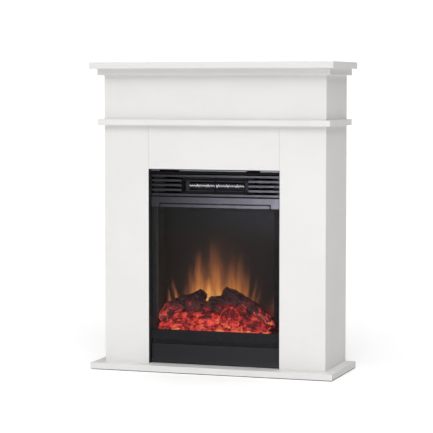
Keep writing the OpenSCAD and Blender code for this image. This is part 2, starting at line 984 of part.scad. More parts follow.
module switch_housing(x) {
    difference() {
        union() {
            slab([x - flange_w / 2, plate_y - flange_t, control_z - flange_h / 2],
                [x + flange_w / 2, plate_y, control_z + flange_h / 2]);
            slab([x - housing_w / 2, plate_y, control_z - housing_h / 2],
                [x + housing_w / 2, plate_y + housing_d, control_z + housing_h / 2]);
        }
        slab([x - pocket_w / 2, plate_y - flange_t - 1, control_z - pocket_h / 2],
            [x + pocket_w / 2, plate_y + pocket_d, control_z + pocket_h / 2]);
        rod_x(x - housing_w / 2 - 2, x + housing_w / 2 + 2, rocker_y, control_z, pin_r + pin_play);
    }
}

module switch_housings() {
    color(black) for (x = rocker_x) switch_housing(x);
}

// Rocker with a dished face, drawn in its off position
module rocker(x) {
    reach = 9;
    lip = 4.5;
    dish = 2.4;
    end_t = 6;
    belly = 4;
    translate([x, rocker_y, control_z])
        rotate([-rocker_tilt, 0, 0])
            union() {
                prism_x(-rocker_w / 2, rocker_w / 2, [
                    [-lip, -reach], [-dish, 0], [-lip, reach],
                    [end_t - lip, reach], [belly, 0], [end_t - lip, -reach]
                ]);
                rod_x(-pivot_len / 2, pivot_len / 2, 0, 0, pin_r);
            }
}

module power_switch() {
    color(amber) rocker(rocker_x[0]);
}

module low_heat_switch() {
    color(black) rocker(rocker_x[1]);
}

module high_heat_switch() {
    color(black) rocker(rocker_x[2]);
}

// Knob with a raised pointer and its own shaft
module knob(x) {
    knob_back = plate_y - plate_play;
    knob_front = knob_back - knob_h;
    pointer_w = 4;
    skirt_step = 3;
    union() {
        rod_y(knob_front + skirt_step, knob_back, x, control_z, knob_r);
        rod_y(knob_front + 1, knob_back - 0.5, x, control_z, knob_r - skirt_step);
        slab([x - pointer_w / 2, knob_front, control_z],
            [x + pointer_w / 2, knob_back - 1.5, control_z + knob_r - 1]);
        rod_y(plate_y - 1, plate_y - 1 + knob_shaft_len, x, control_z, shaft_r);
    }
}

module thermostat_knob() {
    color(steel) knob(knob_x[0]);
}

module dimmer_knob() {
    color(steel) knob(knob_x[1]);
}

module rotary_controls() {
    tag_w = 16;
    tag_t = 2;
    tag_drop = 18;
    color(zinc)
        for (x = knob_x)
            difference() {
                union() {
                    rod_y(plate_back_y, plate_back_y + rotary_d, x, control_z, rotary_r);
                    slab([x - tag_w / 2, plate_back_y + rotary_d - tag_t, control_z - tag_drop],
                        [x + tag_w / 2, plate_back_y + rotary_d, control_z]);
                }
                rod_y(plate_back_y - 1, plate_y + knob_shaft_len, x, control_z, shaft_r + shaft_play);
            }
}

// Component block on the control board, set out from the board's front left corner
module board_block(at, size) {
    translate([board_lo[0] + at[0], board_lo[1] + at[1], board_lo[2] + board_size[2] - 0.5])
        cube(size);
}

module control_board() {
    board_top = board_lo[2] + board_size[2];
    corner = 6;
    relay_pitch = 24;
    color("darkgreen")
        union() {
            translate(board_lo) cube(board_size);
            for (x = [corner, board_size[0] - corner], y = [corner, board_size[1] - corner])
                translate([board_lo[0] + x, board_lo[1] + y, plinth_top + sheet_t])
                    cylinder(h = board_top - plinth_top - sheet_t, r = standoff_r);
            for (i = [0 : 2]) board_block([14 + relay_pitch * i, 12], [20, 16, 15.5]);
            board_block([20, 44], [56, 14, 11.5]);
            translate([board_lo[0] + 96, board_lo[1] + 42, board_top - 0.5]) cylinder(h = 20, r = 7);
        }
}

module cable_gland() {
    color(black)
        difference() {
            union() {
                rod_y(case_back_y - 6, cover_back_y + 2, gland_x, gland_z, gland_neck_r);
                rod_y(cover_back_y, cover_back_y + gland_flange_t, gland_x, gland_z, gland_flange_r);
                rod_y(case_back_y - 5, case_back_y, gland_x, gland_z, gland_flange_r);
            }
            rod_y(case_back_y - 7, cover_back_y + gland_flange_t + 1, gland_x, gland_z, gland_bore_r);
        }
}

// ---------------------------------------------------------------- fuel bed and flame effect

// Hollow tray that the logs are bonded into
module ember_bed() {
    color(amber)
        difference() {
            prism_x(-bed_x, bed_x, bed_outer);
            prism_x(bed_t - bed_x, bed_x - bed_t, bed_inner);
        }
}

// Log limb with round ends, of radius ra at a and rb at b
module branch(a, b, ra, rb) {
    hull() {
        translate(a) sphere(r = ra, $fn = 28);
        translate(b) sphere(r = rb, $fn = 28);
    }
}

module left_log() {
    color(bark)
        union() {
            branch(left_butt, left_knot, 24, 27);
            branch(left_knot, left_tip, 27, 16);
            branch(left_fork, left_branch, 21, 18);
        }
}

module right_log() {
    color(bark)
        union() {
            branch(right_butt, right_middle, 24, 26);
            branch(right_middle, right_tip, 26, 14);
            branch(right_fork, right_stub, 16, 12);
        }
}

module round_log() {
    color(bark)
        rod_y(round_log_at[1], round_log_at[1] + round_log_len, round_log_at[0], round_log_at[2],
            round_log_r);
}

module front_logs() {
    row_y = case_y + 11;
    row_z = ledge_top + 17;
    color(amber) {
        limb([-190, row_y, row_z - 3], [-108, row_y, row_z], 14, 16);
        rod_y(row_y - 14, row_y + 8, -88, row_z + 4, 13);
        limb([-66, row_y, row_z], [2, row_y, row_z + 2], 16, 17);
        limb([84, row_y, row_z], [192, row_y, row_z - 5], 16, 13);
    }
}

// Narrow board with a row of light emitting diodes
module led_strip(y) {
    union() {
        slab([-led_x, y, lower_deck_top], [led_x, y + led_w, lower_deck_top + led_t]);
        for (i = [0 : led_count - 1])
            translate([(i - (led_count - 1) / 2) * 2 * (led_x - 8) / (led_count - 1) - 2.5,
                    y + led_w / 2 - 2.5, lower_deck_top + led_t - 0.2])
                cube([5, 5, 2]);
    }
}

module led_strips() {
    color("ivory") for (y = led_y) led_strip(y);
}

module flame_screen() {
    color(tinted)
        slab([-case_in_x, screen_y, lower_deck_top], [case_in_x, screen_y + screen_t, upper_deck_z]);
}

// Pointed leaf standing on its tip, as an outline of two arcs
function leaf(w, h, steps) = concat(
    [for (i = [0 : steps]) [w / 2 * sin(180 * i / steps), h * i / steps]],
    [for (i = [steps - 1 : -1 : 1]) [-w / 2 * sin(180 * i / steps), h * i / steps]]
);

module flame_mask() {
    leaf_steps = 12;
    leaf_count = 9;
    leaf_pitch = 40;
    leaf_w = 22;
    tallest = 240;
    step_down = 34;
    leaf_foot = ledge_top + 30;
    color(steel)
        difference() {
            slab([-case_in_x, mask_y, lower_deck_top], [case_in_x, mask_y + sheet_t, mask_top]);
            for (i = [0 : leaf_count - 1]) {
                offset_i = i - (leaf_count - 1) / 2;
                leaf_h = tallest - step_down * abs(offset_i);
                translate([offset_i * leaf_pitch, mask_y + 2 * sheet_t, leaf_foot])
                    rotate([90, 0, 0])
                        linear_extrude(height = 3 * sheet_t)
                            polygon(leaf(leaf_w, leaf_h, leaf_steps));
            }
        }
}

module flicker_spindle() {
    vane_t = 1;
    vane_turn = 50;
    color(zinc)
        union() {
            rod_x(-post_x - 4, motor_x + motor_len - 6, spindle_y, spindle_z, shaft_r);
            for (i = [0 : vane_count - 1])
                translate([(i - (vane_count - 1) / 2) * 2 * (vane_x - vane_w / 2) / (vane_count - 1),
                        spindle_y, spindle_z])
                    rotate([i * vane_turn, 0, 0])
                        cube([vane_w, vane_t, 2 * vane_r], center = true);
        }
}

module flicker_motor() {
    foot_h = 14;
    cap = 4;
    color(zinc)
        difference() {
            union() {
                rod_x(motor_x, motor_x + motor_len, spindle_y, spindle_z, motor_r);
                slab([motor_x, spindle_y - motor_r, lower_deck_top],
                    [motor_x + motor_len, spindle_y + motor_r, lower_deck_top + foot_h]);
            }
            rod_x(motor_x - 1, motor_x + motor_len - cap, spindle_y, spindle_z, shaft_r + shaft_play);
        }
}

module shaft_bush(x, y, z) {
    difference() {
        rod_x(x - bush_len / 2, x + bush_len / 2, y, z, bush_r);
        rod_x(x - bush_len, x + bush_len, y, z, shaft_r + shaft_play);
    }
}

module shaft_bushes() {
    color(brass) {
        shaft_bush(-post_x + sheet_t / 2, spindle_y, spindle_z);
        for (s = [-1, 1]) shaft_bush(s * (housing_x - sheet_t / 2), fan_y, fan_z);
    }
}

// ---------------------------------------------------------------- heater

module heater_housing() {
    color(zinc)
        difference() {
            slab([-housing_x, housing_y, housing_z], [housing_x, housing_back_y, housing_top]);
            slab([sheet_t - housing_x, housing_y + sheet_t, housing_z + sheet_t],
                [housing_x - sheet_t, housing_back_y - sheet_t, housing_top - sheet_t]);
            slab([-outlet_x, housing_y - 1, outlet_z - outlet_h / 2 + outlet_rim],
                [outlet_x, housing_y + 2 * sheet_t, outlet_z + outlet_h / 2 - outlet_rim]);
            slab([-intake_x, housing_back_y - 2 * sheet_t, fan_z - intake_h / 2],
                [intake_x, housing_back_y + 1, fan_z + intake_h / 2]);
            rod_x(-housing_x - 1, housing_x + 1, fan_y, fan_z, bush_r);
        }
}

// Edge of the heating ribbon: a zigzag, raised by the given height
function zigzag(rise) = [
    for (i = [0 : ribbon_bends])
        [element_x * (2 * i / ribbon_bends - 1), (i % 2 == 0 ? 1 : -1) * ribbon_amp + rise]
];

function reversed(points) = [for (i = [len(points) - 1 : -1 : 0]) points[i]];

module heating_element() {
    rail_gap = 15.5;
    color(mica)
        union() {
            for (s = [-1, 1]) {
                translate([-rail_size[0] / 2, element_y, outlet_z + s * rail_gap - rail_size[2] / 2])
                    cube(rail_size);
                slab([s > 0 ? element_x - 1 : -rail_size[0] / 2, element_y, outlet_z - rail_gap],
                    [s > 0 ? rail_size[0] / 2 : 1 - element_x, element_y + rail_size[1],
                        outlet_z + rail_gap]);
            }
            translate([0, element_y + (rail_size[1] + ribbon_t) / 2, outlet_z + 1.5])
                rotate([90, 0, 0])
                    linear_extrude(height = ribbon_t)
                        polygon(concat(zigzag(ribbon_w / 2), reversed(zigzag(-ribbon_w / 2))));
        }
}

module fan_impeller() {
    blade_ring = impeller_r - blade_w / 2 - 0.5;
    color(steel)
        union() {
            rod_x(fan_shaft_x[0], fan_shaft_x[1], fan_y, fan_z, shaft_r);
            for (x = [-impeller_x, -disc_t / 2, impeller_x - disc_t])
                rod_x(x, x + disc_t, fan_y, fan_z, impeller_r);
            for (i = [0 : blade_count - 1])
                translate([0, fan_y, fan_z])
                    rotate([360 * i / blade_count, 0, 0])
                        translate([-impeller_x, 0, blade_ring])
                            rotate([35, 0, 0])
                                translate([0.5, -blade_t / 2, -blade_w / 2])
                                    cube([2 * impeller_x - 1, blade_t, blade_w]);
        }
}

module fan_motor() {
    stack_y = 25;
    stack_z = 21;
    stack_len = 16;
    can_r = 12;
    can_len = 9;
    coil = [10, 22, 16];
    post_offset = [20, 17];
    color(steel)
        difference() {
            union() {
                slab([fan_motor_x, fan_y - stack_y, fan_z - stack_z],
                    [fan_motor_x + stack_len, fan_y + stack_y, fan_z + stack_z]);
                rod_x(fan_motor_x + stack_len - 1, fan_motor_x + stack_len + can_len, fan_y, fan_z,
                    can_r);
                slab([fan_motor_x - 2, fan_y + coil[0], fan_z - coil[2]],
                    [fan_motor_x + stack_len + 4, fan_y + coil[1], fan_z + coil[2]]);
                for (s = [-1, 1])
                    rod_x(housing_x, fan_motor_x + 1, fan_y + s * post_offset[0],
                        fan_z + s * post_offset[1], standoff_r);
            }
            rod_x(fan_motor_x - 3, fan_motor_x + stack_len + can_len + 1, fan_y, fan_z,
                shaft_r + shaft_play);
        }
}

module thermal_cutout() {
    at = [60, housing_y + 30, housing_top];
    can = [8, 4.5];
    tab = [8, 4, 1.2];
    tab_x = 11;
    color(black)
        union() {
            translate(at) cylinder(h = can[1], r = can[0]);
            for (s = [-1, 1])
                translate([at[0] + s * tab_x - tab[0] / 2, at[1] - tab[1] / 2, at[2]]) cube(tab);
        }
}

top_board();
cornice_board();
frieze_front();
frieze_left();
frieze_right();
mid_shelf();
left_pilaster();
right_pilaster();
centre_panel();
left_side_panel();
right_side_panel();
left_cheek();
right_cheek();
plinth_board();
rear_rail();
glides();
wall_brackets();
assembly_screws();
firebox_case();
rear_cover();
head_trim();
louvre_grille();
header_strip();
glass_retainer();
window_glass();
left_jamb();
right_jamb();
front_ledge();
insert_brackets();
machine_screws();
wood_screws();
cable_gland();
access_flap();
flap_hinge_pins();
flap_catches();
control_plate();
switch_housings();
power_switch();
low_heat_switch();
high_heat_switch();
thermostat_knob();
dimmer_knob();
rotary_controls();
control_board();
ember_bed();
left_log();
right_log();
round_log();
front_logs();
led_strips();
flame_screen();
flame_mask();
flicker_spindle();
flicker_motor();
shaft_bushes();
heater_housing();
heating_element();
fan_impeller();
fan_motor();
thermal_cutout();
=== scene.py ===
"""Looks of the free-standing electric fireplace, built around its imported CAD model."""
import itertools
import math
from functools import partial

import bmesh
import bpy
import numpy as np
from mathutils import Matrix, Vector


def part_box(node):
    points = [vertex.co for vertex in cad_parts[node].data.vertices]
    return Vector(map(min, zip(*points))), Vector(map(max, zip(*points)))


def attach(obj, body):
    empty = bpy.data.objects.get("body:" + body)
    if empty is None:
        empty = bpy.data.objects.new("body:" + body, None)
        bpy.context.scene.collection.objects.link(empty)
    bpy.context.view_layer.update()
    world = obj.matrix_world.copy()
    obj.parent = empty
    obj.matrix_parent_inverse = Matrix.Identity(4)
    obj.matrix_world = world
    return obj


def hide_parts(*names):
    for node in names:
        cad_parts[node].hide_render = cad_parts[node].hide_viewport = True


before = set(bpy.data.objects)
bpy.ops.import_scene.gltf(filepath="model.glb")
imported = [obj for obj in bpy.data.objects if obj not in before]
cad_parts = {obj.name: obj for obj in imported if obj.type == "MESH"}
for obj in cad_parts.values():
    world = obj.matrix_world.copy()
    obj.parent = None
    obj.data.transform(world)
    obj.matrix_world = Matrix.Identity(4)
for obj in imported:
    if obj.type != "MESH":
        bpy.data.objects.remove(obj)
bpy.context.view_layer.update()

BODY = "surround"


# ---------------------------------------------------------------- colours

def tint(red, green, blue):
    """Linear colour from the usual 0 to 255 steps of a screen colour."""
    def linear(step):
        share = step / 255
        return share / 12.92 if share <= 0.04045 else ((share + 0.055) / 1.055) ** 2.4
    return (linear(red), linear(green), linear(blue), 1.0)


# ---------------------------------------------------------------- camera, floor, light

CAMERA_PLACE = (1.8745, -5.6499, 0.9183)
CAMERA_TILT = 85.972
CAMERA_TURN = 18.571
CAMERA_LENS = 152.2

FLOOR_REACH = 30
FLOOR_GLOW = 0.28
# Reach of the floor's painted contact shade past the plinth's edges.
CONTACT_REACH = 0.002
DOME_RADIUS = 40
DOME_RINGS = 12
DOME_SIDES = 32
DOME_GLOW = 1.1
CARD_PLACE = -2.0
CARD_SIDES = (-1.1, 0.35)
CARD_HEIGHTS = (0.18, 0.80)
CARD_BRIGHTENS = (-1.02, -0.30)
CARD_FADES_IN = (0.20, 0.40)
CARD_FADES_OUT = (0.42, 0.60)
CARD_STRENGTH = 17.0

SKY_STRENGTH = 0.15
OVERHEAD_POWER = 1.9
KEY_POWER = 1.30


def make_camera():
    data = bpy.data.cameras.new("camera")
    data.lens = CAMERA_LENS
    data.sensor_width = 36
    data.clip_end = 100
    camera = bpy.data.objects.new("camera", data)
    camera.location = CAMERA_PLACE
    camera.rotation_euler = (math.radians(CAMERA_TILT), 0, math.radians(CAMERA_TURN))
    bpy.context.scene.collection.objects.link(camera)
    bpy.context.scene.camera = camera


def add_object(name, mesh):
    made = bpy.data.objects.new(name, mesh)
    bpy.context.scene.collection.objects.link(made)
    return made


def quad(name, corners):
    mesh = bpy.data.meshes.new(name)
    mesh.from_pydata([Vector(c) for c in corners], [], [(0, 1, 2, 3)])
    return add_object(name, mesh)


def ring_faces(gaps, sides):
    """Four-sided faces across each gap between one closed ring of points and the next."""
    return [(r * sides + s, r * sides + (s + 1) % sides,
             (r + 1) * sides + (s + 1) % sides, (r + 1) * sides + s)
            for r, s in itertools.product(range(gaps), range(sides))]


def soft_sun(name, turn, lift, spread, power):
    """Even soft light from one side: turn is measured from the front towards +X, all in degrees."""
    data = bpy.data.lights.new(name, "SUN")
    data.energy = power
    data.angle = math.radians(spread)
    light = bpy.data.objects.new(name, data)
    light.rotation_euler = (math.radians(90 - lift), 0, math.radians(turn))
    light.visible_glossy = False
    bpy.context.scene.collection.objects.link(light)


def make_floor():
    far = FLOOR_REACH
    floor = quad("floor", [(-far, -far, 0), (far, -far, 0), (far, far, 0), (-far, far, 0)])
    floor.data.materials.append(floor_material())
    floor.visible_glossy = False


def make_backdrop():
    """Bright dome that only the camera sees."""
    mesh = bpy.data.meshes.new("backdrop")
    points = []
    for ring, side in itertools.product(range(DOME_RINGS + 1), range(DOME_SIDES)):
        lift = math.pi / 2 * (2 * ring / DOME_RINGS - 1)
        turn = 2 * math.pi * side / DOME_SIDES
        points.append((DOME_RADIUS * math.cos(lift) * math.cos(turn),
                       DOME_RADIUS * math.cos(lift) * math.sin(turn), DOME_RADIUS * math.sin(lift)))
    mesh.from_pydata(points, [], ring_faces(DOME_RINGS, DOME_SIDES))
    dome = add_object("backdrop", mesh)
    dome.data.materials.append(glow_material("backdrop_white", (1, 1, 1, 1), DOME_GLOW))
    dome.visible_diffuse = False
    dome.visible_glossy = False
    dome.visible_shadow = False


def make_card():
    """Reflection card that shows only in glossy reflections, such as those of the gloss black parts."""
    left, right = CARD_SIDES
    foot, head = CARD_HEIGHTS
    card = quad("reflection_card", [(left, CARD_PLACE, foot), (right, CARD_PLACE, foot),
                                    (right, CARD_PLACE, head), (left, CARD_PLACE, head)])
    card.data.materials.append(card_material())
    card.visible_camera = False
    card.visible_diffuse = False
    card.visible_shadow = False


def make_lights():
    scene = bpy.context.scene
    scene.view_settings.view_transform = "Standard"
    world = bpy.data.worlds.new("soft_studio")
    world.use_nodes = True
    sky = world.node_tree.nodes["Background"]
    sky.inputs["Color"].default_value = (1.0, 0.995, 0.985, 1)
    sky.inputs["Strength"].default_value = SKY_STRENGTH
    scene.world = world
    soft_sun("overhead", turn=0, lift=80, spread=100, power=OVERHEAD_POWER)
    soft_sun("key", turn=18, lift=36, spread=40, power=KEY_POWER)


# ---------------------------------------------------------------- material graphs

# The share, colour inputs and colour output of a Mix node, among its sockets.
MIX_SHARE, MIX_FIRST, MIX_SECOND, MIX_RESULT = 0, 6, 7, 2

# Noise spends most of its time between these two levels.
NOISE_LOW, NOISE_HIGH = 0.3, 0.7


class Nodes:
    """Short calls for the nodes of one node tree."""

    def __init__(self, tree):
        self.tree = tree

    def node(self, kind, inputs=None, **settings):
        made = self.tree.nodes.new(kind)
        for key, value in settings.items():
            setattr(made, key, value)
        for key, value in (inputs or {}).items():
            self.feed(made.inputs[key], value)
        return made

    def feed(self, socket, value):
        """Puts a number or colour on a socket, or links another node's output to it."""
        if isinstance(value, bpy.types.NodeSocket):
            self.tree.links.new(value, socket)
        else:
            socket.default_value = value

    def maths(self, operation, first, second=0.0, clamp=False):
        made = self.node("ShaderNodeMath", {0: first, 1: second}, operation=operation, use_clamp=clamp)
        return made.outputs[0]


class Graph(Nodes):
    """A material built around one Principled shader."""

    def __init__(self, name, **settings):
        self.material = bpy.data.materials.new(name)
        self.material.use_nodes = True
        super().__init__(self.material.node_tree)
        self.shader = self.tree.nodes["Principled BSDF"]
        for socket, value in settings.items():
            self.shader.inputs[socket.replace("_", " ")].default_value = value

    def place(self, x=1.0, y=1.0, z=1.0):
        """Position in the object's own space, in metres, stretched along each axis."""
        position = self.node("ShaderNodeTexCoord").outputs["Object"]
        scaled = self.node("ShaderNodeVectorMath", {0: position, 1: (x, y, z)}, operation="MULTIPLY")
        return scaled.outputs[0]

    def noise(self, vector, scale, detail=4.0, roughness=0.55):
        made = self.node("ShaderNodeTexNoise", {
            "Vector": vector, "Scale": scale, "Detail": detail, "Roughness": roughness})
        return made.outputs["Fac"]

    def cells(self, vector, scale, feature, randomness):
        made = self.node("ShaderNodeTexVoronoi", {
            "Vector": vector, "Scale": scale, "Randomness": randomness}, feature=feature)
        return made.outputs["Distance"]

    def span(self, value, low, high, to_low=0.0, to_high=1.0, smooth=False):
        """Maps value from low..high to to_low..to_high, and holds it at the ends."""
        made = self.node("ShaderNodeMapRange", {
            "Value": value, "From Min": low, "From Max": high, "To Min": to_low, "To Max": to_high},
            interpolation_type="SMOOTHSTEP" if smooth else "LINEAR")
        return made.outputs["Result"]

    def vary(self, noise, low, high):
        """A number that wanders between low and high as the noise does."""
        return self.span(noise, NOISE_LOW, NOISE_HIGH, low, high)

    def ramp(self, value, *stops):
        made = self.node("ShaderNodeValToRGB", {"Fac": value})
        elements = made.color_ramp.elements
        while len(elements) < len(stops):
            elements.new(0.5)
        for element, (place, colour) in zip(elements, stops):
            element.position = place
            element.color = colour
        return made.outputs["Color"]

    def two_tone(self, noise, low, high):
        """A colour that wanders between low and high as the noise does."""
        return self.ramp(noise, (NOISE_LOW, low), (NOISE_HIGH, high))

    def mix(self, share, first, second, blend="MIX"):
        made = self.node("ShaderNodeMix", data_type="RGBA", blend_type=blend)
        self.feed(made.inputs[MIX_SHARE], share)
        self.feed(made.inputs[MIX_FIRST], first)
        self.feed(made.inputs[MIX_SECOND], second)
        return made.outputs[MIX_RESULT]

    def attribute(self, name):
        return self.node("ShaderNodeAttribute", attribute_name=name).outputs["Fac"]

    def axis(self, vector, name):
        return self.node("ShaderNodeSeparateXYZ", {0: vector}).outputs[name]

    def bump(self, height, distance, strength=1.0):
        made = self.node("ShaderNodeBump", {
            "Height": height, "Distance": distance, "Strength": strength})
        self.feed(self.shader.inputs["Normal"], made.outputs["Normal"])

    def set(self, socket, value):
        self.feed(self.shader.inputs[socket], value)


def glow_material(name, colour, strength):
    """Plain light-giving material for the stage."""
    graph = Graph(name, Base_Color=(0, 0, 0, 1), Roughness=1.0, Specular_IOR_Level=0.0,
                  Emission_Color=colour, Emission_Strength=strength)
    return graph.material


def floor_material():
    """Pale floor that gives a little light, with a painted contact shade: dark and unlit under the plinth
    and just past its edges.
    """
    graph = Graph("floor_pale", Roughness=0.9, Specular_IOR_Level=0.1, Emission_Strength=FLOOR_GLOW)
    place = graph.place()
    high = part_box("plinth_board")[1]
    beyond = [graph.maths("SUBTRACT", graph.maths("ABSOLUTE", graph.axis(place, name)), size)
              for name, size in (("X", high.x), ("Y", high.y))]
    outside = graph.maths("MAXIMUM", *beyond)
    # Painted contact shade: 0 well under the plinth, 1 from CONTACT_REACH past its edges.
    beyond_painted_shade = graph.span(outside, -CONTACT_REACH, CONTACT_REACH, smooth=True)
    graph.set("Base Color", graph.mix(beyond_painted_shade, (0.25, 0.25, 0.25, 1), (0.80, 0.80, 0.80, 1)))
    graph.set("Emission Color", graph.mix(beyond_painted_shade, (0, 0, 0, 1), (1, 1, 1, 1)))
    return graph.material


def card_material():
    """Lavender studio card that fades towards its edges."""
    graph = Graph("card_lavender", Base_Color=(0, 0, 0, 1), Roughness=1.0,
                  Specular_IOR_Level=0.0, Emission_Color=(0.86, 0.84, 1.0, 1))
    place = graph.place()
    across = graph.span(graph.axis(place, "X"), *CARD_BRIGHTENS)
    rise = graph.span(graph.axis(place, "Z"), *CARD_FADES_IN, smooth=True)
    fall = graph.span(graph.axis(place, "Z"), *CARD_FADES_OUT, 1.0, 0.0, smooth=True)
    light = graph.maths("MULTIPLY", graph.maths("POWER", across, 1.6),
                        graph.maths("MULTIPLY", rise, fall))
    graph.set("Emission Strength", graph.maths("MULTIPLY", light, CARD_STRENGTH))
    return graph.material


PAINT_TONES = ((0.765, 0.757, 0.742), (0.790, 0.783, 0.770))
COAT_DEPTH = 0.00006


def paint_material(name, shade):
    """Satin white paint sprayed on board: faint mottling and a fine orange peel."""
    graph = Graph(name)
    place = graph.place()
    mottle = graph.noise(place, 7, 3)
    low, high = [tuple(shade * c for c in colour) + (1,) for colour in PAINT_TONES]
    graph.set("Base Color", graph.two_tone(mottle, low, high))
    graph.set("Roughness", graph.vary(graph.noise(place, 60, 5), 0.40, 0.50))
    peel = graph.noise(place, 520, 2, 0.5)
    graph.bump(peel, 0.00012, 0.35)
    return graph.material


def grained(name, colour, smooth, rough, grain=900.0, depth=COAT_DEPTH):
    """Powder coat, print or moulded plastic with a fine grain."""
    graph = Graph(name)
    place = graph.place()
    cloud = graph.noise(place, 14, 4)
    lighter = tuple(min(1.0, c * 1.35 + 0.002) for c in colour[:3]) + (1,)
    graph.set("Base Color", graph.mix(cloud, colour, lighter))
    graph.set("Roughness", graph.vary(graph.noise(place, 40, 5), smooth, rough))
    graph.bump(graph.noise(place, grain, 2, 0.5), depth, 0.5)
    return graph.material


def bare_metal(name, colour, roughness, stretch=(1, 1, 1), grain=300.0):
    """Metal with rolling marks along the axis that stretch makes long."""
    graph = Graph(name, Metallic=1.0)
    place = graph.place(*stretch)
    streak = graph.noise(place, grain, 6, 0.6)
    darker = tuple(c * 0.72 for c in colour[:3]) + (1,)
    graph.set("Base Color", graph.mix(graph.noise(graph.place(), 25, 5), darker, colour))
    graph.set("Roughness", graph.vary(streak, roughness - 0.08, roughness + 0.1))
    graph.bump(streak, 0.00003, 0.4)
    return graph.material


def glass_material():
    """Lightly smoked flat glass with a few smears."""
    graph = Graph("smoked_glass", Base_Color=(0.006, 0.006, 0.007, 1), Alpha=0.20, IOR=1.52,
                  Specular_IOR_Level=0.05)
    smear = graph.noise(graph.place(1, 1, 0.4), 18, 5, 0.6)
    graph.set("Roughness", graph.span(smear, 0.35, 0.75, 0.015, 0.07))
    return graph.material


EMBER_STOPS = (
    (0.0, (0.002, 0.0015, 0.0016, 1)),
    (0.20, (0.040, 0.012, 0.014, 1)),
    (0.38, (0.16, 0.016, 0.018, 1)),
    (0.56, (0.68, 0.038, 0.036, 1)),
    (0.74, (0.98, 0.100, 0.070, 1)),
    (0.88, (1.0, 0.24, 0.085, 1)),
    (1.0, (1.0, 0.56, 0.19, 1)),
)


def ember_material(name, cold, warm):
    """Moulded resin lit from below: the mesh's own heat drives the glow, its fissures the tone."""
    graph = Graph(name, Emission_Strength=1.0, Subsurface_Radius=(0.004, 0.001, 0.0005))
    place = graph.place()
    heat = graph.attribute("ember_heat")
    fissure = graph.attribute("fissure")
    speckle = graph.noise(place, 210, 5, 0.65)
    patch = graph.noise(place, 38, 4)
    tone = graph.maths("MULTIPLY", patch, graph.vary(speckle, 0.4, 1.3))
    body = graph.ramp(tone, (0.16, cold), (0.56, warm))
    creases = graph.maths("MULTIPLY", fissure, 0.75)
    graph.set("Base Color", graph.mix(creases, body, (0.020, 0.004, 0.004, 1)))
    flicker = graph.vary(speckle, 0.66, 1.26)
    graph.set("Emission Color", graph.ramp(graph.maths("MULTIPLY", heat, flicker), *EMBER_STOPS))
    graph.set("Roughness", graph.vary(speckle, 0.55, 0.85))
    graph.bump(graph.noise(place, 420, 6, 0.7), 0.0008, 0.6)
    return graph.material


# ---------------------------------------------------------------- flames on the screen

# What each flame's row holds. Lengths are in metres, across from the middle of the fire and
# up from the floor, and the lean is the tip's.
FLAME_NUMBERS = ("Middle", "Half width", "Foot", "Tip", "Lean", "Brightness")
FLAMES = (
    (-0.194, 0.008, 0.200, 0.264, -0.004, 0.70),
    (-0.164, 0.009, 0.200, 0.294, -0.022, 0.80),
    (-0.140, 0.016, 0.190, 0.290, 0.002, 0.34),
    (-0.112, 0.016, 0.190, 0.352, -0.012, 0.50),
    (-0.088, 0.026, 0.190, 0.400, -0.006, 0.96),
    (-0.062, 0.014, 0.190, 0.300, 0.002, 1.00),
    (-0.022, 0.038, 0.190, 0.424, -0.024, 0.56),
    (-0.018, 0.018, 0.190, 0.345, -0.016, 0.22),
    (0.012, 0.024, 0.190, 0.350, 0.004, 0.34),
    (0.030, 0.022, 0.190, 0.415, -0.004, 0.38),
    (0.052, 0.027, 0.190, 0.398, 0.002, 0.62),
    (0.068, 0.010, 0.190, 0.358, 0.014, 0.36),
    (0.091, 0.009, 0.200, 0.306, 0.020, 0.48),
    (0.109, 0.008, 0.200, 0.272, 0.012, 0.42),
    (0.162, 0.022, 0.150, 0.250, 0.004, 0.50),
)
FLAME_HAZE = (
    (-0.030, 0.105, 0.120, 0.440, 0.0, 0.50),
    (-0.020, 0.190, 0.100, 0.500, 0.0, 0.10),
)
LOG_SHADE = (0.185, 0.215)
WARM_FADE = (0.40, 0.52)
# Dim emission colours: painted glow on the screen and chamber walls, warm low down and cooler higher up.
WARM_DARK = (0.0185, 0.0138, 0.0115, 1)
COOL_DARK = (0.0125, 0.0135, 0.0120, 1)
JAMB_EDGE = 0.2025


def flame_group():
    """Node group: brightness of one flame at a point, from its six numbers."""
    tree = bpy.data.node_groups.new("flame", "ShaderNodeTree")
    for name in ("Across", "Height") + FLAME_NUMBERS:
        tree.interface.new_socket(name=name, in_out="INPUT", socket_type="NodeSocketFloat")
    tree.interface.new_socket(name="Light", in_out="OUTPUT", socket_type="NodeSocketFloat")
    inputs = tree.nodes.new("NodeGroupInput").outputs
    result = tree.nodes.new("NodeGroupOutput").inputs["Light"]
    maths = Nodes(tree).maths
    rise = maths("DIVIDE", maths("SUBTRACT", inputs["Height"], inputs["Foot"]),
                 maths("SUBTRACT", inputs["Tip"], inputs["Foot"]), clamp=True)
    left = maths("SUBTRACT", 1.0, rise)
    middle = maths("ADD", inputs["Middle"], maths("MULTIPLY", inputs["Lean"], rise))
    width = maths("ADD", maths("MULTIPLY", inputs["Half width"], maths("POWER", left, 0.52)), 0.0012)
    offset = maths("DIVIDE", maths("ABSOLUTE", maths("SUBTRACT", inputs["Across"], middle)), width)
    edge = maths("POWER", 0.30, maths("MULTIPLY", offset, offset))
    fade = maths("POWER", left, 0.85)
    tree.links.new(maths("MULTIPLY", maths("MULTIPLY", edge, fade), inputs["Brightness"]), result)
    return tree


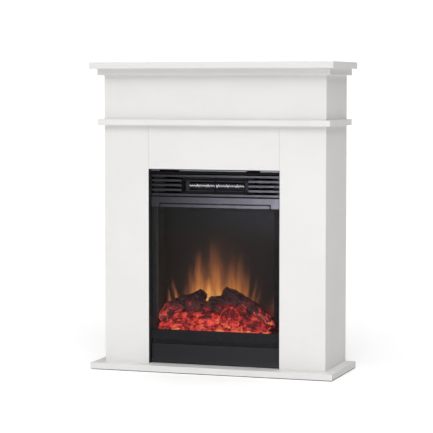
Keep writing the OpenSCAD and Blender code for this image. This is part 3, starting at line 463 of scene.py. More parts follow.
def flame_material():
    """Dark translucent screen that shows the flame image, brightest near the logs."""
    graph = Graph("flame_image", Roughness=0.35, Base_Color=(0.012, 0.011, 0.010, 1),
                  Specular_IOR_Level=0.15, Emission_Strength=1.0)
    place = graph.place()
    height = graph.axis(place, "Z")
    sway = graph.span(graph.noise(graph.place(1, 1, 0.45), 34, 3, 0.5), 0.2, 0.8, -0.006, 0.006)
    across = graph.maths("ADD", graph.axis(place, "X"), sway)
    group = flame_group()
    total = None
    for flame in FLAMES + FLAME_HAZE:
        values = dict(zip(FLAME_NUMBERS, flame))
        made = graph.node("ShaderNodeGroup", node_tree=group)
        for key, value in {**values, "Across": across, "Height": height}.items():
            graph.feed(made.inputs[key], value)
        light = made.outputs["Light"]
        total = light if total is None else graph.maths("ADD", total, light)
    streak = graph.span(graph.noise(graph.place(1, 1, 0.10), 120, 4, 0.6), 0.25, 0.75, 0.75, 1.2)
    level = graph.maths("MULTIPLY", total, streak)
    # Painted glow: where no flame is, the screen still glows dimly, warm low down and cooler higher up.
    upper = graph.span(height, *WARM_FADE, smooth=True)
    dim_screen_glow = graph.mix(upper, WARM_DARK, COOL_DARK)
    flame = graph.ramp(
        level,
        (0.0, (0, 0, 0, 1)),
        (0.16, (0.045, 0.016, 0.007, 1)),
        (0.40, (0.23, 0.074, 0.026, 1)),
        (0.75, (0.62, 0.205, 0.046, 1)),
        (1.0, (1.0, 0.45, 0.11, 1)))
    # Painted shade of the logs: below LOG_SHADE the screen shows a dim red glow in place of the flames.
    above = graph.span(height, *LOG_SHADE, smooth=True)
    fire = graph.mix(above, (0.10, 0.013, 0.010, 1), flame)
    graph.set("Emission Color", graph.mix(1.0, dim_screen_glow, fire, "ADD"))
    return graph.material


# ---------------------------------------------------------------- numbers that look random

# Large odd numbers that scatter the bits of a whole number.
AXIS_FACTORS = np.array([374761393, 668265263, 1440662683])
SEED_FACTOR = 987643
MIX_FACTOR = 1274126177
LOW_BITS = 0xFFFF


def lattice(cells, seed):
    """A repeatable number from 0 to 1 for each row of three whole numbers."""
    mixed = (cells * AXIS_FACTORS).sum(axis=-1) + seed * SEED_FACTOR
    mixed = (mixed ^ (mixed >> 13)) * MIX_FACTOR
    return ((mixed ^ (mixed >> 16)) & LOW_BITS) / LOW_BITS


def value_noise(points, seed):
    """Smooth noise from 0 to 1 at each point."""
    base = np.floor(points).astype(np.int64)
    part = points - base
    part = part * part * (3 - 2 * part)
    total = np.zeros(len(points))
    for corner in itertools.product((0, 1), repeat=3):
        weight = np.prod(np.where(corner, part, 1 - part), axis=-1)
        total += weight * lattice(base + np.array(corner), seed)
    return total


def fractal(points, octaves, seed):
    """Sum of noises, each twice as fine and half as strong as the last, from 0 to 1."""
    total = np.zeros(len(points))
    share = 0.5
    reached = 0.0
    for octave in range(octaves):
        total += share * value_noise(points * 2 ** octave, seed + octave)
        reached += share
        share /= 2
    return total / reached


def cell_gap(points, seed):
    """Distance from the nearest border between random cells, and the cell's own number."""
    base = np.floor(points).astype(np.int64)
    nearest = np.full(len(points), 9.0)
    second = np.full(len(points), 9.0)
    number = np.zeros(len(points))
    for offset in itertools.product((-1, 0, 1), repeat=3):
        cell = base + np.array(offset)
        centre = cell + np.stack([lattice(cell, seed + axis) for axis in range(3)], axis=-1)
        distance = np.linalg.norm(points - centre, axis=-1)
        closer = distance < nearest
        second = np.where(closer, nearest, np.minimum(second, distance))
        number = np.where(closer, lattice(cell, seed + 7), number)
        nearest = np.where(closer, distance, nearest)
    return second - nearest, number


def smooth_step(value, low, high):
    share = np.clip((value - low) / (high - low), 0, 1)
    return share * share * (3 - 2 * share)


# ---------------------------------------------------------------- meshes

def coordinates(mesh):
    flat = np.zeros(len(mesh.vertices) * 3)
    mesh.vertices.foreach_get("co", flat)
    return flat.reshape(-1, 3)


def normals(mesh):
    flat = np.zeros(len(mesh.vertices) * 3, np.float32)
    mesh.vertex_normals.foreach_get("vector", flat)
    return flat.reshape(-1, 3).astype(float)


def store(mesh, name, values):
    layer = mesh.attributes.new(name, "FLOAT", "POINT")
    layer.data.foreach_set("value", np.asarray(values, np.float32))


def finish_piece(piece, material, body, slot, *replaced):
    """Smooth shading, material and body for a new piece; the slot argument is not used."""
    piece.data.materials.append(material)
    piece.data.polygons.foreach_set("use_smooth", [True] * len(piece.data.polygons))
    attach(piece, body)
    if replaced:
        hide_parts(*replaced)


def from_middle(node, x, z, y=0.0):
    """Point that far, in metres, from the middle of a CAD node's box."""
    low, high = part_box(node)
    return np.array((low + high) / 2) + np.array([x, y, z])


def spline(points, radii, steps):
    """Smooth line through the points, with the radius at each of its own points."""
    points = np.array(points, float)
    radii = np.array(radii, float)
    padded = np.vstack([2 * points[0] - points[1], points, 2 * points[-1] - points[-2]])
    line, sizes = [], []
    for i in range(len(points) - 1):
        a, b, c, d = padded[i:i + 4]
        last = i == len(points) - 2
        for t in np.linspace(0, 1, steps, endpoint=False).tolist() + ([1.0] if last else []):
            line.append(0.5 * (2 * b + (c - a) * t + (2 * a - 5 * b + 4 * c - d) * t ** 2
                               + (3 * b - a - 3 * c + d) * t ** 3))
            ease = t * t * (3 - 2 * t)
            sizes.append(radii[i] * (1 - ease) + radii[i + 1] * ease)
    return np.array(line), np.array(sizes)


END_SHARES = (0.72, 0.45)
LIMB_STEPS = 10
LIMB_SIDES = 26
LIMB_SPACING = 0.05
PLATE_LENGTH = 0.030
PLATE_WIDTH = 0.010
PLATE_DEPTH = 0.0034
VOXEL = 0.0019


def side_frames(line):
    """Two directions across the line at each of its points."""
    along = np.gradient(line, axis=0)
    along /= np.linalg.norm(along, axis=1)[:, None]
    across = (0, 0, 1) if abs(along[0, 1]) > 0.9 else (0, 1, 0)
    first = np.cross(along, across)
    first /= np.linalg.norm(first, axis=1)[:, None]
    return along, first, np.cross(along, first)


def tube(line, sizes, sides, crown):
    """Closed tube along a line: each end narrows in two steps, and crown says how far it bulges."""
    along, first, second = side_frames(line)
    turns = np.linspace(0, 2 * math.pi, sides, endpoint=False)
    rings = [(line[0] - along[0] * sizes[0] * crown * (1 - share), sizes[0] * share, 0)
             for share in reversed(END_SHARES)]
    rings += [(line[i], sizes[i], i) for i in range(len(line))]
    rings += [(line[-1] + along[-1] * sizes[-1] * crown * (1 - share), sizes[-1] * share, -1)
              for share in END_SHARES]
    points = [centre + size * (math.cos(t) * first[i] + math.sin(t) * second[i])
              for centre, size, i in rings for t in turns]
    last = len(rings) - 1
    faces = ring_faces(last, sides)
    faces.append(tuple(reversed(range(sides))))
    faces.append(tuple(last * sides + s for s in range(sides)))
    return points, faces


class Limb:
    """One round limb of a log, along a smooth line through a few points."""

    def __init__(self, points, radii, crown=0.6):
        self.line, self.sizes = spline(points, radii, LIMB_STEPS)
        self.crown = crown

    def solid(self):
        return tube(self.line, self.sizes, LIMB_SIDES, self.crown)


def remeshed(name, solids):
    """One watertight mesh round several overlapping closed solids."""
    points, faces = [], []
    for solid_points, solid_faces in solids:
        start = len(points)
        points += [tuple(p) for p in solid_points]
        faces += [tuple(start + i for i in face) for face in solid_faces]
    mesh = bpy.data.meshes.new(name)
    mesh.from_pydata(points, [], faces)
    rough = add_object(name, mesh)
    rough.modifiers.new("shell", "REMESH").voxel_size = VOXEL
    rough.modifiers["shell"].mode = "VOXEL"
    view = bpy.context.evaluated_depsgraph_get()
    shell = bpy.data.meshes.new_from_object(rough.evaluated_get(view))
    bpy.data.objects.remove(rough)
    bpy.data.meshes.remove(mesh)
    shell.name = name
    return shell


def limb_coordinates(points, limbs):
    """Length along the limbs to the nearest one's point, and the offset in its own directions."""
    best = np.full(len(points), 1e9)
    result = np.zeros((len(points), 3))
    start = 0.0
    for limb in limbs:
        along, first, second = side_frames(limb.line)
        steps = np.linalg.norm(np.diff(limb.line, axis=0), axis=1)
        lengths = np.concatenate([[0], np.cumsum(steps)])
        gaps = np.linalg.norm(points[:, None] - limb.line[None], axis=2) - limb.sizes[None]
        nearest = gaps.argmin(axis=1)
        gap = gaps[np.arange(len(points)), nearest]
        offset = points - limb.line[nearest]
        here = np.stack([
            start + lengths[nearest] + (offset * along[nearest]).sum(axis=1),
            (offset * first[nearest]).sum(axis=1), (offset * second[nearest]).sum(axis=1)], axis=1)
        closer = gap < best
        result[closer] = here[closer]
        best = np.minimum(best, gap)
        start += lengths[-1] + LIMB_SPACING
    return result


def bark_shape(mesh, limbs, seed):
    """Raises bark plates along each limb. Returns the points, the fissures and plate numbers."""
    points = coordinates(mesh)
    outward = normals(mesh)
    own = limb_coordinates(points, limbs) / np.array([PLATE_LENGTH, PLATE_WIDTH, PLATE_WIDTH])
    bend = np.stack([fractal(own * 0.8 + shift, 3, seed + 20) for shift in (0, 31, 62)], axis=1)
    gap, number = cell_gap(own + (bend - 0.5) * 1.6, seed)
    plate = smooth_step(gap, 0.02, 0.30)
    coarse = fractal(points / 0.016, 4, seed + 40) - 0.5
    lift = plate * (0.5 + 0.5 * number) * PLATE_DEPTH + coarse * 2.2 * PLATE_DEPTH
    points += outward * (lift - 0.6 * PLATE_DEPTH)[:, None]
    mesh.vertices.foreach_set("co", points.ravel())
    mesh.update()
    return points, 1 - plate, number


def make_log(node, limbs, seed, heat_of, material):
    """Log of branching limbs in place of a CAD node."""
    name = node + "_bark"
    mesh = remeshed(name, [limb.solid() for limb in limbs])
    points, fissure, number = bark_shape(mesh, limbs, seed)
    store(mesh, "fissure", fissure)
    store(mesh, "ember_heat", np.clip(heat_of(points, fissure, number), 0, 1))
    finish_piece(add_object(name, mesh), material, BODY, "bark_resin", node)


# ---------------------------------------------------------------- logs and embers

HOT_LEVEL = 0.145
WARM_LEVEL = 0.215
ROUND_RINGS = 26
ROUND_SIDES = 120


def upper_log_heat(points, fissure, number):
    """Red at the foot of the log, and pink veins that die out towards its charred tip."""
    tip = smooth_step(points[:, 2] - 0.10 * np.abs(points[:, 0] + 0.03), 0.200, 0.236)
    low = 1 - smooth_step(points[:, 2], HOT_LEVEL, WARM_LEVEL)
    side = smooth_step(np.abs(points[:, 0] + 0.01), 0.060, 0.150)
    cloud = fractal(points / 0.020, 4, 91)
    vein = smooth_step(fissure, 0.30, 0.95)
    veins = vein * smooth_step(cloud, 0.34, 0.52) * (0.40 + 0.16 * side + 0.10 * low)
    # Painted light: body gives the whole log a faint glow for the light that falls on it.
    body = (0.02 + 0.20 * cloud) * (1 - 0.9 * tip) * (0.4 + 0.6 * number)
    foot = low * side * smooth_step(cloud, 0.36, 0.60) * 0.22
    return body + foot + veins * (1 - tip)


def front_log_heat(points, fissure, number):
    """Red glow with charred plates and dark creases."""
    cloud = fractal(points / 0.016, 4, 57)
    patch = fractal(points / 0.034, 2, 59)
    glow = 0.30 + 0.36 * smooth_step(cloud, 0.34, 0.66) + 0.16 * smooth_step(patch, 0.45, 0.7)
    crease = 0.30 * smooth_step(fissure, 0.5, 1.0) * (cloud - 0.35)
    return glow + crease - 0.30 * smooth_step(number, 0.50, 0.85)


def make_logs():
    bark = ember_material("charred_bark", tint(20, 16, 18), tint(112, 76, 74))
    glowing = ember_material("glowing_bark", tint(40, 16, 16), tint(150, 50, 44))

    at = partial(from_middle, "left_log")
    make_log("left_log", [
        Limb([at(-0.086, -0.040, -0.034), at(-0.066, -0.008, -0.016),
              at(-0.026, 0.008, -0.004), at(0.014, 0.026),
              at(0.043, 0.052)],
             [0.023, 0.029, 0.032, 0.027, 0.0185], 0.35),
        Limb([at(-0.020, 0.006), at(0.030, 0.003, -0.004),
              at(0.070, 0.004, -0.008), at(0.110, -0.004, -0.010)],
             [0.031, 0.025, 0.0205, 0.016]),
        Limb([at(-0.034, 0.022), at(-0.036, 0.040)], [0.012, 0.007]),
    ], 11, upper_log_heat, bark)

    at = partial(from_middle, "right_log")
    make_log("right_log", [
        Limb([at(0.098, -0.056, -0.010), at(0.084, -0.040, -0.006),
              at(0.046, -0.012), at(0.004, 0.012),
              at(-0.038, 0.040), at(-0.064, 0.056)],
             [0.022, 0.026, 0.029, 0.030, 0.025, 0.0175], 0.35),
        Limb([at(-0.030, 0.022), at(-0.064, 0.024, -0.006),
              at(-0.094, 0.025, -0.008), at(-0.112, 0.028, -0.008)],
             [0.025, 0.0205, 0.0160, 0.013]),
    ], 23, upper_log_heat, bark)

    at = partial(from_middle, "front_logs")
    make_log("front_logs", [
        Limb([at(-0.194, -0.011), at(-0.150, -0.004),
              at(-0.116, -0.005)], [0.013, 0.017, 0.015]),
        Limb([at(-0.190, 0.016, 0.008), at(-0.148, 0.022, 0.008),
              at(-0.100, 0.028, 0.010), at(-0.060, 0.032, 0.012)],
             [0.013, 0.012, 0.010, 0.008]),
        Limb([at(-0.102, 0.005, -0.012), at(-0.102, 0.005, 0.010)],
             [0.0175, 0.0180], 0.15),
        Limb([at(-0.058, 0.009, 0.004), at(-0.030, 0.011, 0.004),
              at(-0.004, 0.011, 0.004)], [0.024, 0.0285, 0.026]),
        Limb([at(0.072, 0.018, 0.018), at(0.112, 0.012, 0.018)],
             [0.018, 0.017]),
        Limb([at(0.088, 0.020), at(0.130, 0.006),
              at(0.174, -0.008)], [0.013, 0.0175, 0.015]),
        Limb([at(0.092, -0.004, -0.002), at(0.140, -0.010, -0.002),
              at(0.168, -0.014, -0.002)], [0.015, 0.015, 0.011]),
    ], 37, front_log_heat, glowing)


def make_round_log():
    """Short log seen end on, with cracks that run out from its middle."""
    low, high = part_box("round_log")
    middle = (low + high) / 2
    radius = (high.x - low.x) / 2
    sides = ROUND_SIDES
    grid_r, grid_t = np.meshgrid(np.linspace(0, 1, ROUND_RINGS),
                                 np.linspace(0, 2 * math.pi, sides, endpoint=False), indexing="ij")
    share, turn = grid_r.ravel(), grid_t.ravel()
    cos, sin = np.cos(turn), np.sin(turn)
    plane = np.stack([share * cos, share * sin, np.zeros(len(turn))], axis=1)
    wobble = fractal(plane * 2.2 + 9, 3, 5) - 0.5
    spoke = np.stack([cos * 1.9, sin * 1.9, share * 0.7], axis=1)
    gap, number = cell_gap(spoke + wobble[:, None] * 0.5, 61)
    crack = 1 - smooth_step(gap, 0.02, 0.24)
    ring_gap, ring_number = cell_gap(plane * 4.0 + wobble[:, None], 67)
    chips = 1 - smooth_step(ring_gap, 0.03, 0.20)
    fissure = np.clip(np.maximum(crack * smooth_step(share, 0.0, 0.2), chips * 0.8), 0, 1)
    rim = smooth_step(share, 0.86, 1.0)
    round_the_rim = np.stack([cos, sin, 0 * turn], axis=1) * 1.6
    outline = 1 + 0.10 * (fractal(round_the_rim, 3, 71) - 0.5)
    across = radius * share * outline
    dome = 0.004 * (1 - share ** 2) - 0.006 * rim
    depth = dome - 0.0035 * fissure + 0.0016 * (ring_number - 0.5)
    points = np.stack([middle.x + across * cos, low.y + 0.001 - depth + 0.004,
                       middle.z + 1.08 * across * sin], axis=1)
    back = points[-sides:].copy()
    back[:, 1] = high.y
    faces = [(a, d, c, b) for a, b, c, d in ring_faces(ROUND_RINGS, sides)]
    faces.append(tuple(reversed([ROUND_RINGS * sides + s for s in range(sides)])))
    mesh = bpy.data.meshes.new("round_log_end")
    mesh.from_pydata(np.vstack([points, back]).tolist(), [], faces)
    mesh.update()
    # Painted light: the lower half of the end face, nearer the embers, glows more, and so does the rim
    # there.
    glow = smooth_step(-sin * share, -0.4, 0.7)
    heat = 0.26 + 0.34 * fissure + 0.42 * glow * (0.4 + 0.6 * number) + 0.42 * rim * (0.5 + 0.5 * glow)
    heat += 0.55 * (1 - smooth_step(share, 0.0, 0.13)) - 0.20 * ring_number * (1 - glow)
    heat = np.concatenate([heat, np.full(sides, 0.4)])
    store(mesh, "fissure", np.concatenate([fissure, np.zeros(sides)]))
    store(mesh, "ember_heat", np.clip(heat, 0, 1))
    material = ember_material("round_log_face", tint(34, 14, 14), tint(120, 38, 36))
    finish_piece(add_object("round_log_end", mesh), material, BODY, "bark_resin", "round_log")


BED_COLUMNS = 300
BED_ROWS = 76
BED_SHELL = 0.0025
BED_MARGIN = 0.012
LUMP_SPACING = 0.019
LUMP_HEIGHT = 0.009
CHIP_SPACING = 0.008
CHIP_HEIGHT = 0.0022
COAL_COUNT = 64
COAL_SIZES = (0.0040, 0.0085)
COAL_GLOW_END = 0.945


def bed_profile(share):
    """Height of the bed's top as a share of its box, from its front lip to its back."""
    return np.interp(share, (0, 0.25, 0.57, 0.88, 1), (0.50, 0.63, 0.88, 1, 1))


def make_ember_bed():
    """Moulded bed of coals: rounded lumps with light in the gaps between them."""
    low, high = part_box("ember_bed")
    across = BED_COLUMNS
    grid_x, grid_y = np.meshgrid(np.linspace(0, 1, across), np.linspace(0, 1, BED_ROWS))
    share_x, share_y = grid_x.ravel(), grid_y.ravel()
    x = low.x + share_x * (high.x - low.x)
    y = low.y + share_y * (high.y - low.y)
    z = low.z + bed_profile(share_y) * (high.z - low.z)
    points = np.stack([x, y, z], axis=1)
    flat = np.stack([x, y * 1.1, 0 * x], axis=1)
    warp = np.stack([fractal(flat / 0.02 + shift, 3, 3) for shift in (0, 17, 0)], axis=1) - 0.5
    gap, number = cell_gap(flat / LUMP_SPACING + warp * 0.7, 29)
    small_gap = cell_gap(flat / CHIP_SPACING + warp, 31)[0]
    lump = smooth_step(gap, 0.0, 0.55)
    chips = smooth_step(small_gap, 0.0, 0.5)
    inside = smooth_step(share_y, 0.0, 0.06) * smooth_step(np.minimum(share_x, 1 - share_x), 0.0, 0.012)
    rise = lump * LUMP_HEIGHT * (0.3 + 0.7 * number) + chips * CHIP_HEIGHT
    points[:, 2] += inside * (rise - 0.002)
    faces = [(r * across + c, r * across + c + 1, (r + 1) * across + c + 1, (r + 1) * across + c)
             for r in range(BED_ROWS - 1) for c in range(across - 1)]
    mesh = bpy.data.meshes.new("coal_bed")
    mesh.from_pydata(points.tolist(), [], faces)
    mesh.update()
    cloud = fractal(points / 0.045, 3, 83)
    fissure = 1 - lump
    front = 1 - smooth_step(share_y, 0.0, 0.5)
    heat = 0.22 + 0.30 * fissure + 0.34 * smooth_step(cloud, 0.38, 0.68) + 0.06 * front
    heat -= 0.40 * smooth_step(number, 0.45, 0.85) * lump
    spot = smooth_step(fractal(flat / 0.022, 2, 47), 0.60, 0.74) * front
    # Painted shade: the glow fades out at both ends of the bed, over a wider span at the right.
    ends = smooth_step(share_x, 0.0, 0.03) * smooth_step(1 - share_x, 0.035, 0.075)
    store(mesh, "fissure", fissure)
    store(mesh, "ember_heat", np.clip((heat + 0.45 * spot) * ends, 0, 1))
    bed = add_object("coal_bed", mesh)
    shell = bed.modifiers.new("shell", "SOLIDIFY")
    shell.thickness = BED_SHELL
    shell.offset = -1
    material = ember_material("coal_resin", tint(44, 18, 16), tint(150, 52, 40))
    finish_piece(bed, material, BODY, "ember_resin", "ember_bed")


def make_coals():
    """Loose lumps along the front of the bed and between the logs."""
    low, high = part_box("ember_bed")
    random = np.random.default_rng(7)
    ball = bpy.data.meshes.new("ball")
    builder = bmesh.new()
    bmesh.ops.create_icosphere(builder, subdivisions=4, radius=1.0)
    builder.to_mesh(ball)
    builder.free()
    unit = coordinates(ball)
    sides = [tuple(p.vertices) for p in ball.polygons]
    bpy.data.meshes.remove(ball)
    points, faces, heats, fissures = [], [], [], []
    for i in range(COAL_COUNT):
        share_x = (i + random.uniform(0.1, 0.9)) / COAL_COUNT
        share_y = random.uniform(0.02, 0.10) if i % 2 else random.uniform(0.10, 0.36)
        size = random.uniform(*COAL_SIZES)
        centre = np.array([
            low.x + BED_MARGIN + share_x * (high.x - low.x - 2 * BED_MARGIN),
            low.y + size + share_y * (high.y - low.y),
            low.z + float(bed_profile(share_y)) * (high.z - low.z) + 0.5 * size])
        shape = unit * size * random.uniform(0.75, 1.3, 3)
        facet = smooth_step(cell_gap(unit * 1.3 + i * 5.0, 13)[0], 0.0, 0.4)
        shape *= (0.86 + 0.10 * facet + 0.16 * fractal(unit * 1.6 + i * 3.0, 4, 19))[:, None]
        start = len(points)
        points += (shape + centre).tolist()
        faces += [tuple(start + v for v in side) for side in sides]
        base = random.choice([0.05, 0.25, 0.42, 0.60])
        # Painted light: each coal glows more on its underside, towards the bed below.
        glow = base + 0.24 * (1 - facet) + 0.16 * smooth_step(-unit[:, 2], -0.2, 0.8)
        # Painted shade: coals past COAL_GLOW_END across the bed do not glow.
        heats.append(glow * (share_x < COAL_GLOW_END))
        fissures.append(1 - facet)
    mesh = bpy.data.meshes.new("loose_coals")
    mesh.from_pydata(points, [], faces)
    mesh.update()
    store(mesh, "ember_heat", np.clip(np.concatenate(heats), 0, 1))
    store(mesh, "fissure", np.concatenate(fissures))
    material = ember_material("loose_coal", tint(30, 16, 16), tint(130, 46, 36))
    finish_piece(add_object("loose_coals", mesh), material, BODY, "ember_resin")


# ---------------------------------------------------------------- marks on the control plate

TICK_ARC = 270
TICK_COUNT = 10
TICK_GAP = 0.0025
TICK_LENGTH = 0.0020
TICK_WIDTH = 0.0007
TICK_RAISE = 0.00025
TICK_SUNK = 0.0001
BLOCK_FACES = ((0, 1, 2, 3), (4, 5, 6, 7), (0, 1, 5, 4), (1, 2, 6, 5), (2, 3, 7, 6), (3, 0, 4, 7))


def make_dial_marks():
    """Raised pale ticks round each knob, in an arc centred on its top, longer clockwise."""
    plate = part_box("control_plate")[0].y
    points, faces = [], []
    for knob, step in itertools.product(("thermostat_knob", "dimmer_knob"), range(TICK_COUNT)):
        low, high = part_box(knob)
        middle = (low + high) / 2
        share = step / (TICK_COUNT - 1)
        turn = math.radians(TICK_ARC * share - TICK_ARC / 2)
        out = Vector((math.sin(turn), 0, math.cos(turn)))
        side = Vector((math.cos(turn), 0, -math.sin(turn))) * TICK_WIDTH / 2
        inner = middle + out * ((high.x - low.x) / 2 + TICK_GAP)
        outer = inner + out * TICK_LENGTH * (1 + share)
        faces += [tuple(len(points) + i for i in face) for face in BLOCK_FACES]
        for depth in (TICK_SUNK, -TICK_RAISE):
            points += [(corner.x, plate + depth, corner.z)
                       for corner in (inner - side, inner + side, outer + side, outer - side)]
    mesh = bpy.data.meshes.new("dial_marks")
    mesh.from_pydata(points, [], faces)
    builder = bmesh.new()
    builder.from_mesh(mesh)
    bmesh.ops.recalc_face_normals(builder, faces=builder.faces)
    builder.to_mesh(mesh)
    builder.free()
    pale = grained("dial_print", tint(176, 176, 180), 0.5, 0.6)
    finish_piece(add_object("dial_marks", mesh), pale, BODY, "knob_grey")
    mesh.polygons.foreach_set("use_smooth", [False] * len(mesh.polygons))


# ---------------------------------------------------------------- materials of the CAD nodes

BOARDS = ("top_board", "cornice_board", "frieze_front", "frieze_left", "frieze_right", "mid_shelf",
          "left_pilaster", "right_pilaster", "centre_panel", "left_side_panel", "right_side_panel",
          "left_cheek", "right_cheek", "plinth_board", "rear_rail")


# SHADOW_GAP is the width round the glass retainer where the header strip is dulled as painted shade.
SHADOW_GAP = 0.0042
SLAT_INSET = 0.001
UPSTAND_RISE = 0.008
RIBBON_LIFT = 0.0015
RIBBON_HALF = 0.0085
RIBBON_INSET = 0.0145
WIRE_STEP = 0.0062
WIRE_RISE = 0.0034


def dress(names, material):
    for name in names:
        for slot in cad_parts[name].material_slots:
            slot.material = material


def soften(name, width):
    """Small rounded edges on a CAD node with flat faces."""
    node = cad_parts[name]
    weld = node.modifiers.new("weld", "WELD")
    weld.merge_threshold = 0.00002
    flat = node.modifiers.new("flat", "DECIMATE")
    flat.decimate_type = "DISSOLVE"
    flat.angle_limit = math.radians(1)
    bevel = node.modifiers.new("bevel", "BEVEL")
    bevel.width = width
    bevel.segments = 3
    bevel.limit_method = "ANGLE"
    bevel.angle_limit = math.radians(40)
    bevel.use_clamp_overlap = False
    bevel.harden_normals = True


def header_material():
    """Gloss black strip with a painted shade: within SHADOW_GAP of the glass retainer it reflects far
    less, so the shadow gap there reads dark.
    """
    graph = Graph("header_black", Base_Color=(0.010, 0.010, 0.012, 1))
    place = graph.place()
    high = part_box("glass_retainer")[1]
    across = graph.maths("ABSOLUTE", graph.axis(place, "X"))
    beside = graph.maths("SUBTRACT", across, high.x)
    above = graph.maths("SUBTRACT", graph.axis(place, "Z"), high.z)
    gap = graph.maths("MAXIMUM", beside, above)
    # Painted shade: far less reflection in the shadow gap round the retainer.
    graph.set("Specular IOR Level", graph.span(gap, SHADOW_GAP, SHADOW_GAP + 0.0006, 0.12, 0.5))
    graph.set("Roughness", graph.vary(graph.noise(place, 40, 5), 0.17, 0.22))
    graph.bump(graph.noise(place, 900, 2, 0.5), COAT_DEPTH, 0.5)
    return graph.material


def grille_material():
    """Black grille with painted shade: all but the flat front faces of its slats are made dull, so the
    slat tops and gaps read dark.
    """
    graph = Graph("grille_black", Base_Color=(0.009, 0.009, 0.010, 1))
    place = graph.place()
    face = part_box("louvre_grille")[0].y + SLAT_INSET
    offset = graph.maths("ABSOLUTE", graph.maths("SUBTRACT", graph.axis(place, "Y"), face))
    # Painted shade: 0 on the slats' front plane, 1 on every other face.
    dulled_for_shade = graph.span(offset, 0.0003, 0.0005)
    gloss = graph.vary(graph.noise(place, 40, 5), 0.20, 0.27)
    graph.set("Specular IOR Level", graph.span(dulled_for_shade, 0.0, 1.0, 0.5, 0.10))
    graph.set("Roughness", graph.maths("ADD", gloss, graph.maths("MULTIPLY", dulled_for_shade, 0.3)))
    graph.bump(graph.noise(place, 700, 2, 0.5), COAT_DEPTH, 0.5)
    return graph.material


def trim_material():
    """Satin dark steel trim with a painted highlight: a paler metal band along its top edge."""
    graph = Graph("trim_steel", Metallic=1.0)
    place = graph.place()
    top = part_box("louvre_grille")[1].z + UPSTAND_RISE
    height = graph.axis(place, "Z")
    # Painted highlight: a band just under the trim's top.
    edge = graph.maths("MULTIPLY", graph.span(height, top - 0.0034, top - 0.0024),
                       graph.span(height, top + 0.0002, top + 0.0006, 1.0, 0.0))
    brushed = graph.noise(graph.place(1, 8, 8), 260, 5, 0.6)
    graph.set("Base Color", graph.mix(edge, (0.008, 0.008, 0.009, 1), (0.24, 0.24, 0.245, 1)))
    graph.set("Roughness", graph.vary(brushed, 0.26, 0.42))
    graph.bump(brushed, 0.00003, 0.3)
    return graph.material


def element_material():
    """Mica heater frame painted with light: its zigzag ribbon glows bright white and its rails glow dimly
    in dots.
    """
    graph = Graph("element_glow", Roughness=0.5, Emission_Strength=1.0)
    place = graph.place()
    low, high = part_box("heating_element")
    middle = (low.z + high.z) / 2 + RIBBON_LIFT
    height = graph.maths("ABSOLUTE", graph.maths("SUBTRACT", graph.axis(place, "Z"), middle))
    across = graph.maths("ABSOLUTE", graph.axis(place, "X"))
    end = high.x - RIBBON_INSET
    ribbon = graph.maths("MULTIPLY", graph.span(height, RIBBON_HALF, RIBBON_HALF + 0.0005, 1.0, 0.0),
                         graph.span(across, end, end + 0.0004, 1.0, 0.0))
    grain = graph.noise(place, 160, 4)
    dots = graph.span(graph.cells(graph.place(1, 0, 0), 260, "F1", 0.0), 0.15, 0.40, 1.0, 0.2)
    graph.set("Base Color", graph.mix(grain, (0.010, 0.010, 0.009, 1), (0.024, 0.022, 0.020, 1)))
    dim = graph.maths("MULTIPLY", dots, 0.035)
    wave = graph.maths("PINGPONG", graph.axis(place, "X"), WIRE_STEP)
    centre = graph.span(wave, 0.0, WIRE_STEP, -WIRE_RISE, WIRE_RISE)
    wire = graph.maths("SUBTRACT", graph.axis(place, "Z"), graph.maths("ADD", centre, middle))
    bright = graph.span(graph.maths("ABSOLUTE", wire), 0.0018, 0.0038, 1.20, 0.14)
    level = graph.maths("ADD", graph.maths("MULTIPLY", ribbon, bright),
                        graph.maths("MULTIPLY", graph.maths("SUBTRACT", 1.0, ribbon), dim))
    # Painted light: the ribbon's and rails' brightness is emission, not reflection.
    graph.set("Emission Color", graph.mix(level, (0, 0, 0, 1), (0.96, 0.95, 1.0, 1)))
    return graph.material


def chamber_material(name, limit):
    """Black powder coat with a painted reflection: within limit of the middle it glows with the screen's
    dim warm light.
    """
    graph = Graph(name, Base_Color=(0.030, 0.031, 0.031, 1), Emission_Strength=1.0)
    place = graph.place()
    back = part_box("flame_screen")[1].y
    across = graph.maths("ABSOLUTE", graph.axis(place, "X"))
    inside = graph.maths("MULTIPLY", graph.maths("LESS_THAN", across, limit),
                         graph.maths("LESS_THAN", graph.axis(place, "Y"), back))
    upper = graph.span(graph.axis(place, "Z"), *WARM_FADE, smooth=True)
    glow = graph.mix(upper, WARM_DARK, COOL_DARK)
    share = graph.maths("MULTIPLY", inside, graph.vary(graph.noise(place, 24, 3), 0.85, 1.1))
    # Painted reflection of the screen: emission, warm low down and cooler higher up.
    graph.set("Emission Color", graph.mix(share, (0, 0, 0, 1), glow))
    graph.set("Roughness", graph.vary(graph.noise(place, 40, 5), 0.55, 0.7))
    return graph.material


def board_material():
    """Green circuit board with paler tracks under its lacquer."""
    graph = Graph("circuit_green", Roughness=0.4)
    place = graph.place()
    track = graph.cells(graph.place(1, 0.35, 1), 160, "DISTANCE_TO_EDGE", 0.4)
    line = graph.span(track, 0.04, 0.10, 1.0, 0.0)
    lacquer = graph.two_tone(graph.noise(place, 60, 3), tint(20, 84, 44), tint(28, 104, 54))
    graph.set("Base Color", graph.mix(graph.maths("MULTIPLY", line, 0.6), lacquer, tint(84, 140, 70)))
    return graph.material


def led_material():
    """White strip whose upper face, where the diodes sit, is lit warm."""
    graph = Graph("led_board", Roughness=0.45, Emission_Strength=0.8)
    place = graph.place()
    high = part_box("led_strips")[1]
    diode = graph.span(graph.axis(place, "Z"), high.z - 0.0019, high.z - 0.0015)
    grain = graph.two_tone(graph.noise(place, 90, 3), tint(214, 208, 190), tint(228, 222, 204))
    graph.set("Base Color", graph.mix(diode, grain, tint(250, 214, 130)))
    graph.set("Emission Color", graph.mix(diode, (0, 0, 0, 1), (1.0, 0.55, 0.22, 1)))
    return graph.material


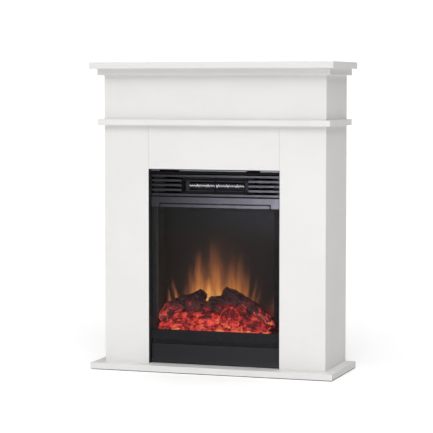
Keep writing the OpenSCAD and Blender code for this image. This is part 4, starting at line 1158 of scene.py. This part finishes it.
def knob_material():
    """Moulded grey knob whose front and pointer are a shade lighter."""
    graph = Graph("knob_grey", Roughness=0.42)
    place = graph.place()
    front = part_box("thermostat_knob")[0].y
    face = graph.span(graph.axis(place, "Y"), front + 0.0004, front + 0.0008, 1.0, 0.0)
    cloud = graph.two_tone(graph.noise(place, 70, 4), tint(58, 58, 61), tint(70, 70, 73))
    graph.set("Base Color", graph.mix(face, cloud, tint(206, 206, 208)))
    graph.bump(graph.noise(place, 900, 2), 0.00005, 0.5)
    return graph.material


def red_material():
    """Translucent red rocker with a faint lamp behind it."""
    graph = Graph("switch_red", Roughness=0.22, Emission_Strength=0.35)
    place = graph.place()
    cloud = graph.noise(place, 140, 3)
    graph.set("Base Color", graph.two_tone(cloud, tint(150, 18, 12), tint(176, 30, 18)))
    graph.set("Emission Color", graph.two_tone(cloud, (0.55, 0.02, 0.01, 1), (0.75, 0.05, 0.02, 1)))
    return graph.material


BOARD_EDGE = 0.0008
SMALL_EDGE = 0.0003
SMALL_EDGED = ("header_strip", "glass_retainer", "front_ledge", "access_flap", "head_trim", "window_glass",
               "control_plate", "insert_brackets", "wall_brackets", "flap_catches", "heater_housing",
               "fan_motor", "flicker_motor", "led_strips")


def dress_cad():
    dress(BOARDS, paint_material("painted_board", 1.0))
    # The plinth gets the board paint a little darker: painted shade near the floor.
    dress(("plinth_board",), paint_material("plinth_paint_painted_shade", 0.93))
    for name in BOARDS:
        soften(name, BOARD_EDGE)
    for name in SMALL_EDGED:
        soften(name, SMALL_EDGE)
    fascia = grained("fascia_black", (0.010, 0.010, 0.012, 1), 0.17, 0.22)
    dress(("glass_retainer", "front_ledge"), fascia)
    dress(("header_strip",), header_material())
    dress(("louvre_grille",), grille_material())
    dress(("access_flap",), grained("flap_black", (0.008, 0.008, 0.009, 1), 0.36, 0.40, 500, 0.00001))
    # The heater housing wears the case black too, a painted shade that keeps the outlet behind the slats
    # dark.
    dress(("rear_cover", "control_plate", "right_jamb", "heater_housing"),
          grained("case_black", (0.012, 0.011, 0.011, 1), 0.55, 0.7))
    dress(("firebox_case",), chamber_material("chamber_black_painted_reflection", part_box("flame_screen")[1].x + 0.001))
    dress(("left_jamb",), chamber_material("jamb_black_painted_reflection", JAMB_EDGE))
    dress(("head_trim",), trim_material())
    dress(("window_glass",), glass_material())
    dress(("flame_screen",), flame_material())
    zinc = bare_metal("zinc_plate", (0.60, 0.61, 0.63, 1), 0.35)
    dress(("assembly_screws", "wood_screws", "wall_brackets", "insert_brackets", "rotary_controls",
           "flicker_motor", "flame_mask", "flap_hinge_pins", "flap_catches"), zinc)
    dress(("machine_screws",), bare_metal("black_zinc", (0.055, 0.055, 0.06, 1), 0.42))
    dress(("flicker_spindle",), bare_metal("bright_foil", (0.84, 0.84, 0.86, 1), 0.14, (1, 5, 5), 120))
    dress(("fan_impeller",), bare_metal("impeller_aluminium", (0.10, 0.10, 0.105, 1), 0.50, (1, 6, 6)))
    dress(("fan_motor",), bare_metal("motor_steel", (0.24, 0.25, 0.27, 1), 0.45, (9, 1, 1), 420))
    plastic = grained("black_plastic", (0.022, 0.022, 0.024, 1), 0.35, 0.5)
    dress(("cable_gland", "switch_housings", "low_heat_switch", "high_heat_switch",
           "thermal_cutout"), plastic)
    dress(("glides",), grained("glide_plastic", (0.030, 0.030, 0.030, 1), 0.5, 0.65, 500))
    dress(("led_strips",), led_material())
    dress(("control_board",), board_material())
    dress(("thermostat_knob", "dimmer_knob"), knob_material())
    dress(("power_switch",), red_material())
    dress(("shaft_bushes",), bare_metal("bush_brass", (0.72, 0.55, 0.28, 1), 0.3))
    dress(("heating_element",), element_material())


# ---------------------------------------------------------------- whole scene


make_camera()
make_floor()
make_backdrop()
make_card()
make_lights()
dress_cad()
make_logs()
make_round_log()
make_ember_bed()
make_coals()
make_dial_marks()
